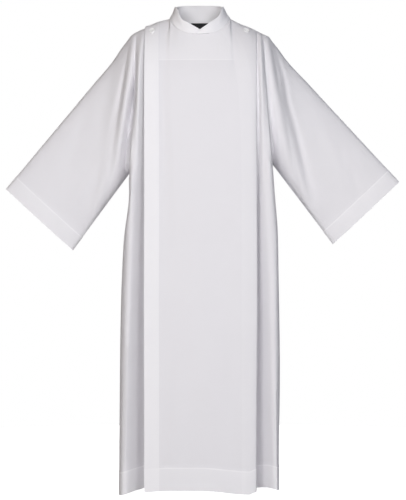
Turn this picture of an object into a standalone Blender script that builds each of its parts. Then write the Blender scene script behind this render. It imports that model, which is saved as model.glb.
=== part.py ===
"""A white alb: a full-length robe with a standing collar, a wrap front that buttons on both
shoulders, deep soft folds beside its flat front panel, and wide straight sleeves. It keeps
the hollow form that it has when worn, with the arms held out.

Metres, +Z up. The wearer faces -Y, and the wearer's left is +X. The origin is the middle of
the neck opening, at the level of the shoulders, where the wearer holds the robe up.
Each cloth piece is a grid of points on its outer face, and its wall goes inwards from there.
"""

import math
from bisect import bisect_right

import bmesh
import bpy
from mathutils import Vector

# ---- driving sizes -------------------------------------------------------------------------
CLOTH = 0.0016  # wall of one piece of cloth
DOUBLED = 0.0026  # wall where the cloth is turned in on itself and stitched
COLLAR_CLOTH = 0.0024  # the collar is folded double over its interfacing
SEAM = 0.0003  # gap between two pieces at a seam
SHARP_ANGLE = math.radians(50)
HEM_DEPTH = 0.070  # turned-up hem of the skirt
CUFF_HEM_DEPTH = 0.050  # turned-up hem of the sleeves
STEP = 0.003  # width of the step where doubled cloth begins

NECK_STEP = 10  # degrees between points of the neckline
NECK_REACH = 0.094  # half the neck's width at the shoulder seams
NECK_HEIGHT = 0.009  # height of the neckline at its sides
NECK_FRONT, NECK_BACK = 0.088, 0.075  # depth of the neck, forwards and backwards
NECK_FRONT_DROP, NECK_BACK_DROP = 0.058, 0.002  # the neckline falls this far below its sides
SHOULDER_REACH = 0.196  # the shoulder seam ends here, at the armhole
CHEST_LEVEL = -0.240  # from here up the cloth curves over the chest and the shoulders
HEM_LEVEL = -1.440
# Powers of the curves: below 1 an oval is squarer, and a shoulder rounds over more suddenly.
NECK_POWER, NECK_FALL_POWER, SHOULDER_POWER, SLEEVE_POWER = 0.8, 1.4, 0.55, 0.95
ROUND_FROM, ROUND_TO = 0.030, 0.150  # between these reaches the slope becomes a round shoulder
LEAST_TURN = 0.2  # a seam nearer the shoulder's top than this share isn't followed further
LEAST_MITRE = 0.4  # the least cosine between a seam's shared direction and a wall's own

PANEL_REACH = 0.1715  # the panel's pressed fold on the left lies this far from the middle
PANEL_RIGHT = 0.1685  # its free edge on the right lies here
PANEL_FACING = 0.045  # doubled strip along the panel's free edge
PANEL_LIFT = 0.0045  # on the right the panel lies this far above the shoulder seam
UNDERLAP_REACH = 0.118  # the under front passes behind the panel up to here
UNDERLAP_DEPTH = 0.014  # and lies this far behind it
UNDERLAP_BEND = 0.150  # from this reach inwards it lies flat
UNDERLAP_TOP_INSET = 0.004  # its free edge leans in by this much at the top
UNDERLAP_DROP = 0.006  # at the left shoulder it lies this far in front of the seam and below it
UNDERLAP_NECK_SHIFT, UNDERLAP_NECK_DROP = 0.004, 0.0055  # and this far behind and below the neck
UNDERLAP_NECK_TURN = 0.020  # the shift begins over this width
UNDERLAP_RISE = 0.004  # its hem is higher by this much behind the panel
UNDERLAP_RISE_FROM, UNDERLAP_RISE_WIDTH = -0.175, 0.020
FOLD = 0.004  # radius of the pressed fold at the panel's left edge
FOLD_TURNS = (0, 35, 65)  # degrees of the points round it
FOLD_BACK = 0.001  # behind the fold the cloth reaches out by this much more
# The corner of the front's cut near its outer seam, beside the armhole and down the skirt: how
# far in from the seam it lies, and how far forward as a share of the crest.
SIDE_TUCK, SIDE_SHARE = (0.006, 0.003), (0.90, 0.78)
SIDE_EASE = 0.32  # below the underarm the first becomes the second over this height
SWAY_FROM, SWAY_STEPS = 5, 6  # the left edge's sway begins at this column and grows over these

RIGHT, LEFT = -1, 1  # the wearer's sides, as the sign of X

# Sizes of the body at each height: the side seams' reach from the middle on the wearer's
# right and left, and how far the back stands behind the origin.
BODY_ROWS = [
    # height, right, left, back
    (-1.460, 0.2480, 0.2430, 0.165),
    (-1.330, 0.2480, 0.2430, 0.160),
    (-1.175, 0.2465, 0.2450, 0.153),
    (-1.020, 0.2450, 0.2450, 0.147),
    (-0.865, 0.2420, 0.2420, 0.142),
    (-0.710, 0.2355, 0.2390, 0.138),
    (-0.610, 0.2285, 0.2370, 0.137),
    (-0.550, 0.2195, 0.2320, 0.136),
    (-0.520, 0.2165, 0.2290, 0.135),
    (-0.470, 0.2175, 0.2235, 0.134),
    (-0.240, 0.2175, 0.2235, 0.133),
]

# The soft fold between each side seam and the panel: how far its crest and the valley behind
# the panel's edge lie from the middle, and how far forward each of them stands.
FOLD_ROWS = [
    # height, crest, crest_forward, valley, valley_forward
    (-1.460, 0.2260, 0.118, 0.1660, 0.056),
    (-1.330, 0.2250, 0.117, 0.1660, 0.058),
    (-1.175, 0.2220, 0.116, 0.1660, 0.060),
    (-1.020, 0.2190, 0.115, 0.1660, 0.063),
    (-0.865, 0.2145, 0.115, 0.1660, 0.068),
    (-0.710, 0.2080, 0.116, 0.1665, 0.077),
    (-0.555, 0.2000, 0.118, 0.1670, 0.088),
    (-0.430, 0.1920, 0.121, 0.1680, 0.102),
    (-0.240, 0.1860, 0.124, 0.1680, 0.112),
]

# The front panel: how far forward its middle and its edges stand, and how far its right and
# left edges sway to the left of their straight lines.
PANEL_ROWS = [
    # height, middle, edge, right_sway, left_sway
    (-1.445, 0.155, 0.147, 0.0010, -0.0020),
    (-1.175, 0.150, 0.142, 0.0010, -0.0005),
    (-0.865, 0.145, 0.137, 0.0000, 0.0020),
    (-0.555, 0.140, 0.132, 0.0005, 0.0015),
    (-0.240, 0.136, 0.127, 0.0000, 0.0000),
]

# The top edge of the shoulder and sleeve at each reach from the middle, on each side.
SHOULDER_ROWS = [
    # reach, right, left
    (0.0940, 0.0045, 0.0090),
    (0.1085, 0.0015, 0.0020),
    (0.1300, -0.0047, -0.0085),
    (0.1430, -0.0108, -0.0126),
    (0.1640, -0.0175, -0.0222),
    (0.1830, -0.0250, -0.0312),
    (0.1960, -0.0315, -0.0380),
    (0.2140, -0.0436, -0.0474),
    (0.2230, -0.0560, -0.0600),
    (0.2325, -0.0684, -0.0715),
    (0.2480, -0.0870, -0.0905),
    (0.2670, -0.1180, -0.1180),
]

# Heights of the hem from the right side seam round the front and the back to the left one,
# at each place across.
HEM_ROWS = [
    # x, front, back
    (-0.248, -1.4540, -1.4540),
    (-0.215, -1.4440, -1.4530),
    (-0.172, -1.4370, -1.4520),
    (-0.080, -1.4310, -1.4500),
    (0.000, -1.4310, -1.4480),
    (0.155, -1.4430, -1.4430),
    (0.172, -1.4350, -1.4420),
    (0.215, -1.4290, -1.4410),
    (0.248, -1.4400, -1.4400),
]

# Each sleeve: the underarm and the two ends of the cuff, as reach and height, and how far the
# armhole seam bows in towards the neck.
SLEEVE_ENDS = {
    # side: underarm, cuff_top, cuff_under, bow
    RIGHT: ((0.2185, -0.470), (0.601, -0.518), (0.394, -0.707), 0.003),
    LEFT: ((0.2240, -0.441), (0.617, -0.496), (0.412, -0.688), 0.005),
}
STRAIGHT_FROM = 0.267  # past this reach the sleeve's top edge is straight

# The sleeve's cuts from the armhole outwards. The top end of each is a reach on the shoulder
# line and then a share of the straight edge past it; the under end is a share of the
# underside. front and back are half the thickness before and behind, and the folds are the
# rise (or the fall, if negative) of the radiating folds on each face.
SLEEVE_ROWS = [
    # top_reach, top_share, under_share, front, front_fold, back, back_fold
    (0.1960, 0.00, 0.000, 0.093, 0.000, 0.074, 0.000),
    (0.2030, 0.00, 0.120, 0.097, 0.003, 0.072, 0.000),
    (0.2090, 0.00, 0.260, 0.093, 0.003, 0.071, 0.000),
    (0.2150, 0.00, 0.400, 0.082, -0.003, 0.064, -0.008),
    (0.2240, 0.00, 0.500, 0.075, 0.000, 0.060, 0.001),
    (0.2390, 0.00, 0.570, 0.067, 0.002, 0.055, 0.004),
    (0.2670, 0.00, 0.620, 0.058, 0.002, 0.050, 0.002),
    (0.2670, 0.20, 0.665, 0.049, 0.000, 0.045, -0.003),
    (0.2670, 0.44, 0.710, 0.041, 0.000, 0.040, 0.000),
    (0.2670, 0.68, 0.755, 0.035, 0.000, 0.035, 0.001),
]
CUFF_THICKNESS, CUFF_HEM_THICKNESS = 0.030, 0.031  # half the thickness at the cuff and its hem
HALF_RING = 12  # steps from the sleeve's top edge to its underside
HALF = range(HALF_RING + 1)
SEAM_LEAN = -0.8  # from the armhole seam the body lies inwards and this much downwards

# Soft folds down the back: where each lies across the back (-1 at the right side seam, 1 at
# the left), half its width in the same measure, its rise at the hem, and its top end.
BACK_FOLDS = [
    # across, half_width, rise, top
    (-0.78, 0.13, 0.014, -0.34),
    (-0.53, 0.15, -0.018, -0.20),
    (-0.27, 0.13, 0.016, -0.46),
    (0.01, 0.16, -0.018, -0.28),
    (0.29, 0.14, 0.017, -0.52),
    (0.55, 0.14, -0.016, -0.22),
    (0.79, 0.12, 0.013, -0.38),
]
BACK_SHOULDER = 5  # steps along each shoulder seam behind
BACK_HEM_REACH = 0.245  # half the hem's width behind
# From this height up the back's columns spread out evenly, by this share over this distance.
BACK_EVEN_FROM, BACK_EVEN_OVER, BACK_EVEN = -0.50, 0.16, 0.75
BACK_POWER_BELOW, BACK_POWER_ABOVE = 0.38, 0.62  # how round the back is, below and above it

# Levels of the body's rows above the hem, as shares of the way up to the underarm.
SKIRT_SHARES = [0.15, 0.28, 0.41, 0.54, 0.67, 0.80, 0.91, 1.0]

# The collar, by the turn of each place round the neck: 0 in front, 90 on the wearer's right
# and 180 behind. Its top edge drops in front to the crossing ends, and lap is how far the
# over end stands out from the under end.
COLLAR_ROWS = [
    # turn, top_height, lap
    (-6, -0.0430, 0.0000),
    (0, -0.0338, 0.0000),
    (10, -0.0197, 0.0000),
    (20, -0.0105, 0.0000),
    (30, -0.0031, 0.0000),
    (40, 0.0150, 0.0000),
    (50, 0.0300, 0.0000),
    (60, 0.0380, 0.0000),
    (70, 0.0425, 0.0000),
    (90, 0.0480, 0.0000),
    (135, 0.0565, 0.0000),
    (180, 0.0590, 0.0000),
    (225, 0.0570, 0.0000),
    (270, 0.0490, 0.0000),
    (290, 0.0435, 0.0000),
    (300, 0.0385, 0.0000),
    (310, 0.0300, 0.0000),
    (320, 0.0145, 0.0000),
    (330, 0.0024, 0.0000),
    (340, -0.0065, 0.0018),
    (350, -0.0176, 0.0031),
    (360, -0.0346, 0.0031),
    (366, -0.0456, 0.0031),
]
COLLAR_HEIGHT = 0.059  # the height at which the full collar's top edge would stand
COLLAR_TOP_REACH = 0.0755  # half the collar's width at its top edge
COLLAR_TOP_SHIFT = -0.003  # its top leans this far to the right
COLLAR_TOP_FRONT, COLLAR_TOP_BACK = 0.072, 0.060
COLLAR_SQUARE = 0.6  # below 1 the top edge has squarer corners than an oval
COLLAR_RISE_STEPS = 3
COLLAR_LEAN = 0.35  # slope of the collar inwards, as rise of its outward direction
COLLAR_BULGE = 0.002  # the collar rounds outwards by this much at half its height

LABEL_WIDTH, LABEL_THICKNESS = 0.056, 0.0010
LABEL_DROP, LABEL_HEIGHT = 0.003, 0.042  # its top and bottom edges are this far below the seam
LABEL_GAP, LABEL_STEPS = 0.0012, 4
BUTTON_RADIUS, BUTTON_STEPS = 0.0095, 24
BUTTON_PROFILE = [
    # inset, height
    (0.0012, 0.0000),
    (0.0000, 0.0010),
    (0.0000, 0.0022),
    (0.0007, 0.0030),
    (0.0018, 0.0030),
    (0.0030, 0.0021),
    (0.0095, 0.0019),
]
BUTTON_HOLE, BUTTON_HOLE_REACH = 0.0010, 0.0022  # radius of a hole, and its distance off centre
HOLES, HOLE_STEPS, DRILL_FROM, DRILL_TO = 4, 8, -0.002, 0.006
BUTTON_GAP = 0.0010  # the button stands this far off the cloth, on its thread
BUTTON_PLACES = {RIGHT: (-0.146, -0.036), LEFT: (0.1415, -0.035)}  # x and height


# ---- curves and tables ---------------------------------------------------------------------
def mix(a, b, t):
    return a + (b - a) * t


def smooth(t):
    t = min(1.0, max(0.0, t))
    return t * t * (3 - 2 * t)


def power(base, exponent):
    """base to a power, keeping its sign."""
    return math.copysign(abs(base) ** exponent, base)


def slope(xs, ys, i):
    """A slope for point i that never lets the curve overshoot its points."""
    steps = [(ys[k + 1] - ys[k]) / (xs[k + 1] - xs[k]) for k in (i - 1, i) if 0 <= k < len(xs) - 1]
    if len(steps) == 1:
        return steps[0]
    before, after = steps
    return 0.0 if before * after <= 0 else 2 * before * after / (before + after)


def read(rows, column, key):
    """The size in that column at a key of the first column, on a smooth curve through rows."""
    xs, ys = [row[0] for row in rows], [row[column] for row in rows]
    if key <= xs[0]:
        return ys[0]
    if key >= xs[-1]:
        return ys[-1]
    i = bisect_right(xs, key) - 1
    run = xs[i + 1] - xs[i]
    t = (key - xs[i]) / run
    bend = slope(xs, ys, i) * run * t * (1 - t) ** 2 - slope(xs, ys, i + 1) * run * t * t * (1 - t)
    return mix(ys[i], ys[i + 1], smooth(t)) + bend


def body_reach(side, height):
    return read(BODY_ROWS, 1 if side == RIGHT else 2, height)


def shoulder_height(side, reach):
    return read(SHOULDER_ROWS, 1 if side == RIGHT else 2, reach)


def side_of(x):
    return RIGHT if x < 0 else LEFT


def through(points, steps):
    """Points on a smooth curve through the given ones, with that many steps between each."""
    ends = [points[0] * 2 - points[1], *points, points[-1] * 2 - points[-2]]
    found = [points[0]]
    for i, count in enumerate(steps):
        a, b, c, d = ends[i : i + 4]
        for k in range(1, count + 1):
            t = k / count
            straight = 2 * b + (c - a) * t
            bent = (2 * a - 5 * b + 4 * c - d) * t**2 + (3 * b - a - 3 * c + d) * t**3
            found.append((straight + bent) / 2)
    return found


# ---- the robe's form -----------------------------------------------------------------------
def armhole(side, face):
    """One half of the armhole seam, from the shoulder down. face is -1 in front, 1 behind."""
    under, _, _, bow = SLEEVE_ENDS[side]
    _, _, _, front, front_fold, back, back_fold = SLEEVE_ROWS[0]
    thickness, fold = (front, front_fold) if face < 0 else (back, back_fold)
    top = (SHOULDER_REACH, shoulder_height(side, SHOULDER_REACH))
    return [lens_point(side, face, k, top, under, thickness, fold, bow) for k in HALF]


def lens_point(side, face, k, top, under, thickness, fold, bow):
    """Point k of a sleeve's cut, counted from its top edge to its underside."""
    angle = math.pi * k / HALF_RING
    share = (1 - math.cos(angle)) / 2
    ends = 0.0 if k in (0, HALF_RING) else 1.0
    reach = mix(top[0], under[0], share) - bow * math.sin(math.pi * share)
    out = thickness * math.sin(angle) ** SLEEVE_POWER + fold * math.sin(angle) ** 2
    return Vector((side * reach, face * out * ends, mix(top[1], under[1], share)))


def neckline(turn):
    """The seam below the collar. turn is in degrees: 0 in front, 90 on the wearer's right,
    180 behind and 270 on the left."""
    ahead, across = math.cos(math.radians(turn)), math.sin(math.radians(turn))
    depth, drop = (NECK_FRONT, NECK_FRONT_DROP) if ahead > 0 else (NECK_BACK, NECK_BACK_DROP)
    fall = drop * abs(ahead) ** NECK_FALL_POWER
    x = -NECK_REACH * power(across, NECK_POWER)
    return Vector((x, -depth * power(ahead, NECK_POWER), NECK_HEIGHT - fall))


def neck_stations(step):
    """The x of points along half the neckline, from right to left, every step degrees."""
    turns = range(-90, 91, step)
    return [NECK_REACH * power(math.sin(math.radians(turn)), NECK_POWER) for turn in turns]


def neck_at(x, face):
    """The point of the neckline at that x, in front (-1) or behind (1)."""
    turn = math.degrees(math.asin(min(1.0, abs(x) / NECK_REACH) ** (1 / NECK_POWER)))
    point = neckline(turn if face < 0 else 180 - turn)
    return Vector((x, point.y, point.z))


def below_top(top, height):
    """How far down a height is, from 0 at the top edge to 1 at the chest."""
    return min(1.0, max(0.0, (top - height) / (top - CHEST_LEVEL)))


def rounded(t):
    """How far the shoulder has rounded over."""
    return (1 - (1 - t) ** 2) ** SHOULDER_POWER


def over_top(top, chest, height):
    """A point between chest, where the cloth hangs straight, and top, the piece's top edge.
    Out on the shoulder the cloth rounds over; at the neck it leaves the seam aslant."""
    if height <= CHEST_LEVEL:
        return Vector((chest.x, chest.y, height))
    t = below_top(top.z, height)
    aslant = math.sin(t * math.pi / 2)
    share = mix(aslant, rounded(t), smooth((abs(top.x) - ROUND_FROM) / (ROUND_TO - ROUND_FROM)))
    return Vector((mix(top.x, chest.x, aslant), mix(top.y, chest.y, share), height))


def skirt_height(hem, under, i):
    """The height of row i, between the hem and the underarm."""
    if i == 0:
        return hem
    if i == 1:
        return hem + HEM_DEPTH
    if i == 2:
        return hem + HEM_DEPTH + STEP
    return mix(hem, under, SKIRT_SHARES[i - 3])


SKIRT_ROWS = 3 + len(SKIRT_SHARES)
BODY_ROW_COUNT = SKIRT_ROWS + HALF_RING


def seam_point(side, face, i):
    """The outer seam's point in row i: the side seam, and then the armhole."""
    under = SLEEVE_ENDS[side][0]
    if i < SKIRT_ROWS - 1:
        hem = read(HEM_ROWS, 1, side * body_reach(side, HEM_LEVEL))
        height = skirt_height(hem, under[1], i)
        return Vector((side * body_reach(side, height), 0.0, height))
    return armhole(side, face)[HALF_RING - (i - SKIRT_ROWS + 1)]


def hanging_seam(side, face, i):
    """The seam's point in row i, as far out as it is before it rounds over the shoulder."""
    seam = seam_point(side, face, i)
    turned = rounded(below_top(shoulder_height(side, SHOULDER_REACH), seam.z))
    return Vector((seam.x, seam.y / max(turned, LEAST_TURN), seam.z))


def armhole_share(i):
    """How far up the armhole row i is, from 0 at the underarm to 1 at the shoulder."""
    return (1 - math.cos(math.pi * (i - SKIRT_ROWS + 1) / HALF_RING)) / 2


def row_height(side, i, hem, top):
    """The height in row i of a column that starts at hem and ends at top."""
    under = SLEEVE_ENDS[side][0][1]
    if i < SKIRT_ROWS - 1:
        return skirt_height(hem, under, i)
    return mix(under, top, armhole_share(i))


# ---- sheets and walls ----------------------------------------------------------------------
class Sheet:
    """One piece of cloth: a grid of points on its outer face, with outward directions."""

    def __init__(self, grid, ring=False, facing=1):
        self.grid, self.ring, self.facing = grid, ring, facing
        self.rows, self.across = len(grid), len(grid[0])
        self.outward = [[self.direction(i, j) for j in range(self.across)] for i in range(self.rows)]
        self.own_outward = list(self.outward[0])
        self.depth = [[1.0] * self.across for _ in range(self.rows)]

    def direction(self, i, j):
        grid, last = self.grid, self.across - 1
        up = grid[min(i + 1, self.rows - 1)][j] - grid[max(i - 1, 0)][j]
        if self.ring:
            along = grid[i][(j + 1) % self.across] - grid[i][j - 1]
        else:
            along = grid[i][min(j + 1, last)] - grid[i][max(j - 1, 0)]
        return along.cross(up).normalized() * self.facing

    def level_seam(self, i, j, face):
        """Holds a seam in the plane between front and back, with its edge square to it."""
        out = self.outward[i][j]
        self.outward[i][j] = Vector((out.x, 0.0, out.z)).normalized()
        self.grid[i][j] = Vector((self.grid[i][j].x, face * SEAM / 2, self.grid[i][j].z))


def seam_frames(points, outwards, others, towards):
    """For each point of an armhole seam: the outward direction that both sheets share, how
    much deeper the wall is along it, and the small step back from the seam to the body."""
    frames = []
    last = len(points) - 1
    for n, point in enumerate(points):
        shared = (outwards[n] + others[n]).normalized()
        along = points[min(n + 1, last)] - points[max(n - 1, 0)]
        if n in (0, last):
            shared = Vector((shared.x, 0.0, shared.z)).normalized()
            along = Vector((0.0, 1.0, 0.0))
        depth = 1 / max(LEAST_MITRE, shared.dot(outwards[n]))
        back = shared.cross(along).normalized() * (SEAM / 2)
        frames.append((shared, depth, back if back.dot(towards) > 0 else -back))
    return frames


def wall(name, sheet, cloth, thickness):
    """A closed wall whose outer face is the sheet. thickness is a function of row and column."""
    grid, rows, across = sheet.grid, sheet.rows, sheet.across
    mesh = bmesh.new()
    outer = [[mesh.verts.new(point) for point in row] for row in grid]
    inner = []
    for i, row in enumerate(grid):
        depths = [thickness(i, j) * sheet.depth[i][j] for j in range(across)]
        inner.append([mesh.verts.new(p - sheet.outward[i][j] * depths[j]) for j, p in enumerate(row)])
    for i in range(rows - 1):
        for j in range(across if sheet.ring else across - 1):
            k = (j + 1) % across
            mesh.faces.new((outer[i][j], outer[i][k], outer[i + 1][k], outer[i + 1][j]))
            mesh.faces.new((inner[i][k], inner[i][j], inner[i + 1][j], inner[i + 1][k]))
    for j in range(across if sheet.ring else across - 1):
        k = (j + 1) % across
        mesh.faces.new((outer[0][k], outer[0][j], inner[0][j], inner[0][k]))
        mesh.faces.new((outer[-1][j], outer[-1][k], inner[-1][k], inner[-1][j]))
    if not sheet.ring:
        for i in range(rows - 1):
            mesh.faces.new((outer[i][0], outer[i + 1][0], inner[i + 1][0], inner[i][0]))
            mesh.faces.new((outer[i + 1][-1], outer[i][-1], inner[i][-1], inner[i + 1][-1]))
    bmesh.ops.recalc_face_normals(mesh, faces=mesh.faces)
    return finish(name, mesh, cloth)


def finish(name, mesh, material):
    """Makes the mesh an object with that material, shaded smooth but for its sharp edges."""
    data = bpy.data.meshes.new(name)
    mesh.to_mesh(data)
    mesh.free()
    data.materials.append(material)
    data.shade_smooth()
    data.set_sharp_from_angle(angle=SHARP_ANGLE)
    made = bpy.data.objects.new(name, data)
    bpy.context.scene.collection.objects.link(made)
    return made


# ---- the fronts ----------------------------------------------------------------------------
def side_cut(side, level, seam):
    """The cut through the side of a front at a level, from the outer seam to the valley."""
    start = Vector((abs(seam.x), seam.y))
    crest = Vector((read(FOLD_ROWS, 1, level), -read(FOLD_ROWS, 2, level)))
    valley = Vector((read(FOLD_ROWS, 3, level), -read(FOLD_ROWS, 4, level)))
    below = smooth((SLEEVE_ENDS[side][0][1] - level) / SIDE_EASE)
    corner = Vector((start.x - mix(*SIDE_TUCK, below), crest.y * mix(*SIDE_SHARE, below)))
    return start, corner, crest, valley


def panel_y(x, level):
    across = min(1.0, abs(x) / PANEL_REACH)
    return -mix(read(PANEL_ROWS, 1, level), read(PANEL_ROWS, 2, level), across**2)


def sway(x, level):
    return read(PANEL_ROWS, 3 if x < 0 else 4, level) * min(1.0, abs(x) / PANEL_REACH)


NECK_SPREAD = 0.106  # the cloth from the neck's sides spreads out to this reach at the chest
FACING_EDGE = PANEL_RIGHT - PANEL_FACING
NECK_XS = neck_stations(NECK_STEP)
NECK_CHEST_XS = [NECK_SPREAD * (2 * k / (len(NECK_XS) - 1) - 1) for k in range(len(NECK_XS))]
# The panel's columns: the x of each at the top edge, and from the chest down.
FACING_XS = [-PANEL_RIGHT, -0.147, -FACING_EDGE - STEP, -FACING_EDGE]
PANEL_TOP_XS = [*FACING_XS, *NECK_XS, 0.110, 0.128, 0.148, PANEL_REACH - FOLD]
PANEL_XS = [*FACING_XS, *NECK_CHEST_XS, 0.121, 0.136, 0.152, PANEL_REACH - FOLD]
FOLD_STEPS = [2, 4, 4, 2]  # steps from the side seam round the side fold to the panel
UNDERLAP_TOP_XS = [-0.122, *NECK_XS[::2], UNDERLAP_REACH - UNDERLAP_TOP_INSET]
UNDERLAP_XS = [-0.126, *NECK_CHEST_XS[::2], UNDERLAP_REACH]


def over_cut(level, seam):
    """The left part of the over front's cut, from the side seam to the pressed fold."""
    start, corner, crest, valley = side_cut(LEFT, level, seam)
    edge = panel_y(PANEL_REACH, level)
    back = Vector((PANEL_REACH + FOLD_BACK, edge + 3 * FOLD))
    points = through([start, corner, crest, valley, back], FOLD_STEPS)
    middle = Vector((PANEL_REACH - FOLD, edge + FOLD))
    for degrees in FOLD_TURNS:
        turned = Vector((math.cos(math.radians(degrees)), -math.sin(math.radians(degrees))))
        points.append(middle + turned * FOLD)
    shift = sway(PANEL_REACH, level)
    moves = [shift * smooth((j - SWAY_FROM) / SWAY_STEPS) for j in range(len(points))]
    return [Vector((point.x + move, point.y)) for point, move in zip(points, moves)]


def make_over_front():
    """The over front: its flat panel buttons on the right shoulder, folds back at its left
    edge, and goes on to the left side seam."""
    grid = []
    for i in range(BODY_ROW_COUNT):
        seam = seam_point(LEFT, -1, i)
        row = []
        for top_x, x in zip(PANEL_TOP_XS, PANEL_XS):
            top = panel_top(top_x)
            height = row_height(LEFT, i, read(HEM_ROWS, 1, x), top.z)
            level = min(height, CHEST_LEVEL)
            chest = Vector((x + sway(x, level), panel_y(x, level), level))
            row.append(over_top(top, chest, height))
        level = min(seam.z, CHEST_LEVEL)
        cut = over_cut(level, hanging_seam(LEFT, -1, i))[::-1]
        for j, point in enumerate(cut):
            share = (j + 1) / len(cut)
            reach = mix(PANEL_REACH - FOLD, SHOULDER_REACH, share)
            top = Vector((reach, 0.0, shoulder_height(LEFT, reach)))
            height = row_height(LEFT, i, read(HEM_ROWS, 1, point.x), top.z)
            row.append(over_top(top, Vector((point.x, point.y, level)), height))
        row[-1] = seam
        grid.append(row)
    return Sheet(grid)


def panel_top(x):
    """The over front's top edge: on the right shoulder it lies over the seam."""
    if x < -NECK_REACH:
        return Vector((x, 0.0, shoulder_height(RIGHT, -x) + PANEL_LIFT))
    if x > NECK_REACH:
        return Vector((x, 0.0, shoulder_height(LEFT, x)))
    return neck_at(x, -1)


def make_under_front():
    """The under front: from the right side seam it folds in behind the panel."""
    grid = []
    for i in range(BODY_ROW_COUNT):
        seam = seam_point(RIGHT, -1, i)
        level = min(seam.z, CHEST_LEVEL)
        start, corner, crest, valley = side_cut(RIGHT, level, hanging_seam(RIGHT, -1, i))
        bend = Vector((UNDERLAP_BEND, panel_y(UNDERLAP_BEND, level) + UNDERLAP_DEPTH))
        cut = through([start, corner, crest, valley, bend], FOLD_STEPS)
        row = []
        for j, point in enumerate(cut):
            reach = mix(SHOULDER_REACH, UNDERLAP_BEND, j / (len(cut) - 1))
            row.append(under_point(i, Vector((-point.x, point.y)), -reach, level))
        for top_x, x in zip(UNDERLAP_TOP_XS, UNDERLAP_XS):
            row.append(under_point(i, Vector((x, panel_y(x, level) + UNDERLAP_DEPTH)), top_x, level))
        row[0] = seam
        grid.append(row)
    return Sheet(grid)


def under_point(i, point, top_x, level):
    top = under_top(top_x)
    rise = UNDERLAP_RISE * smooth((point.x - UNDERLAP_RISE_FROM) / UNDERLAP_RISE_WIDTH)
    height = row_height(RIGHT, i, read(HEM_ROWS, 1, point.x) + rise, top.z)
    return over_top(top, Vector((point.x, point.y, level)), height)


def under_top(x):
    if x < -NECK_REACH:
        return Vector((x, 0.0, shoulder_height(RIGHT, -x)))
    if x > NECK_REACH:
        return Vector((x, -UNDERLAP_DROP, shoulder_height(LEFT, x) - UNDERLAP_DROP))
    inwards = smooth((x + NECK_REACH) / UNDERLAP_NECK_TURN)
    return neck_at(x, -1) + Vector((0.0, UNDERLAP_NECK_SHIFT * inwards, -UNDERLAP_NECK_DROP))


# ---- the back ------------------------------------------------------------------------------
BACK_SHOULDERS = [mix(SHOULDER_REACH, NECK_REACH, k / BACK_SHOULDER) for k in range(BACK_SHOULDER)]
BACK_TOPS = [*(-x for x in BACK_SHOULDERS), *NECK_XS, *reversed(BACK_SHOULDERS)]
BACK_STEPS = len(BACK_TOPS) - 1


def back_top(j):
    """The back's top edge in column j: the shoulder seams, with the neckline between them."""
    x = BACK_TOPS[j]
    if abs(x) > NECK_REACH - SEAM:
        return Vector((x, 0.0, shoulder_height(side_of(x), abs(x))))
    return neck_at(x, 1)


def make_back():
    grid = []
    for i in range(BODY_ROW_COUNT):
        ends = {side: seam_point(side, 1, i) for side in (RIGHT, LEFT)}
        hanging = {side: hanging_seam(side, 1, i) for side in (RIGHT, LEFT)}
        row = []
        for j in range(BACK_STEPS + 1):
            top = back_top(j)
            even = 2 * j / BACK_STEPS - 1
            hem = read(HEM_ROWS, 2, even * BACK_HEM_REACH)
            heights = [row_height(side, i, hem, top.z) for side in (RIGHT, LEFT)]
            height = mix(*heights, (even + 1) / 2)
            level = min(height, CHEST_LEVEL)
            spread = BACK_EVEN * smooth((height - BACK_EVEN_FROM) / BACK_EVEN_OVER)
            across = mix(-math.cos(math.pi * j / BACK_STEPS), even, spread)
            start = hanging[side_of(across)]
            rise = sum(back_fold(across, height, fold) for fold in BACK_FOLDS)
            out = max(0.0, 1 - across * across) ** mix(BACK_POWER_BELOW, BACK_POWER_ABOVE, spread)
            y = (read(BODY_ROWS, 3, level) + rise) * out + start.y * (1 - out) ** 3
            row.append(over_top(top, Vector((abs(start.x) * across, y, level)), height))
        row[0], row[-1] = ends[RIGHT], ends[LEFT]
        grid.append(row)
    return Sheet(grid, facing=-1)


def back_fold(across, height, fold):
    middle, half_width, rise, top = fold
    nearness = max(0.0, 1 - abs(across - middle) / half_width)
    return rise * smooth(nearness) * smooth((top - height) / (top - BODY_ROWS[0][0]))


# ---- the sleeves ---------------------------------------------------------------------------
def make_sleeve(side):
    under, cuff_top, cuff_under, bow = SLEEVE_ENDS[side]
    start = (STRAIGHT_FROM, shoulder_height(side, STRAIGHT_FROM))
    top_length = math.dist(start, cuff_top)
    under_length = math.dist(under, cuff_under)
    cuts = []
    for top_reach, top_share, under_share, *sizes in SLEEVE_ROWS:
        top = (top_reach, shoulder_height(side, top_reach))
        if top_share:
            top = tuple(mix(a, b, top_share) for a, b in zip(start, cuff_top))
        cuts.append((top, tuple(mix(a, b, under_share) for a, b in zip(under, cuff_under)), sizes))
    cuff_depths = (CUFF_HEM_DEPTH + STEP, CUFF_HEM_DEPTH, 0.0)
    cuff_sizes = (CUFF_HEM_THICKNESS, CUFF_HEM_THICKNESS, CUFF_THICKNESS)
    for depth, thickness in zip(cuff_depths, cuff_sizes):
        top = tuple(mix(b, a, depth / top_length) for a, b in zip(start, cuff_top))
        below = tuple(mix(b, a, depth / under_length) for a, b in zip(under, cuff_under))
        cuts.append((top, below, (thickness, 0.0, thickness, 0.0)))
    grid = []
    for top, below, (front, front_fold, back, fold_behind) in cuts:
        row = [lens_point(side, -1, k, top, below, front, front_fold, bow) for k in HALF]
        row += [lens_point(side, 1, k, top, below, back, fold_behind, bow) for k in HALF[-2:0:-1]]
        grid.append(row)
        bow = 0.0  # only the armhole seam bows in
    return Sheet(grid, ring=True, facing=side)


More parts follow.
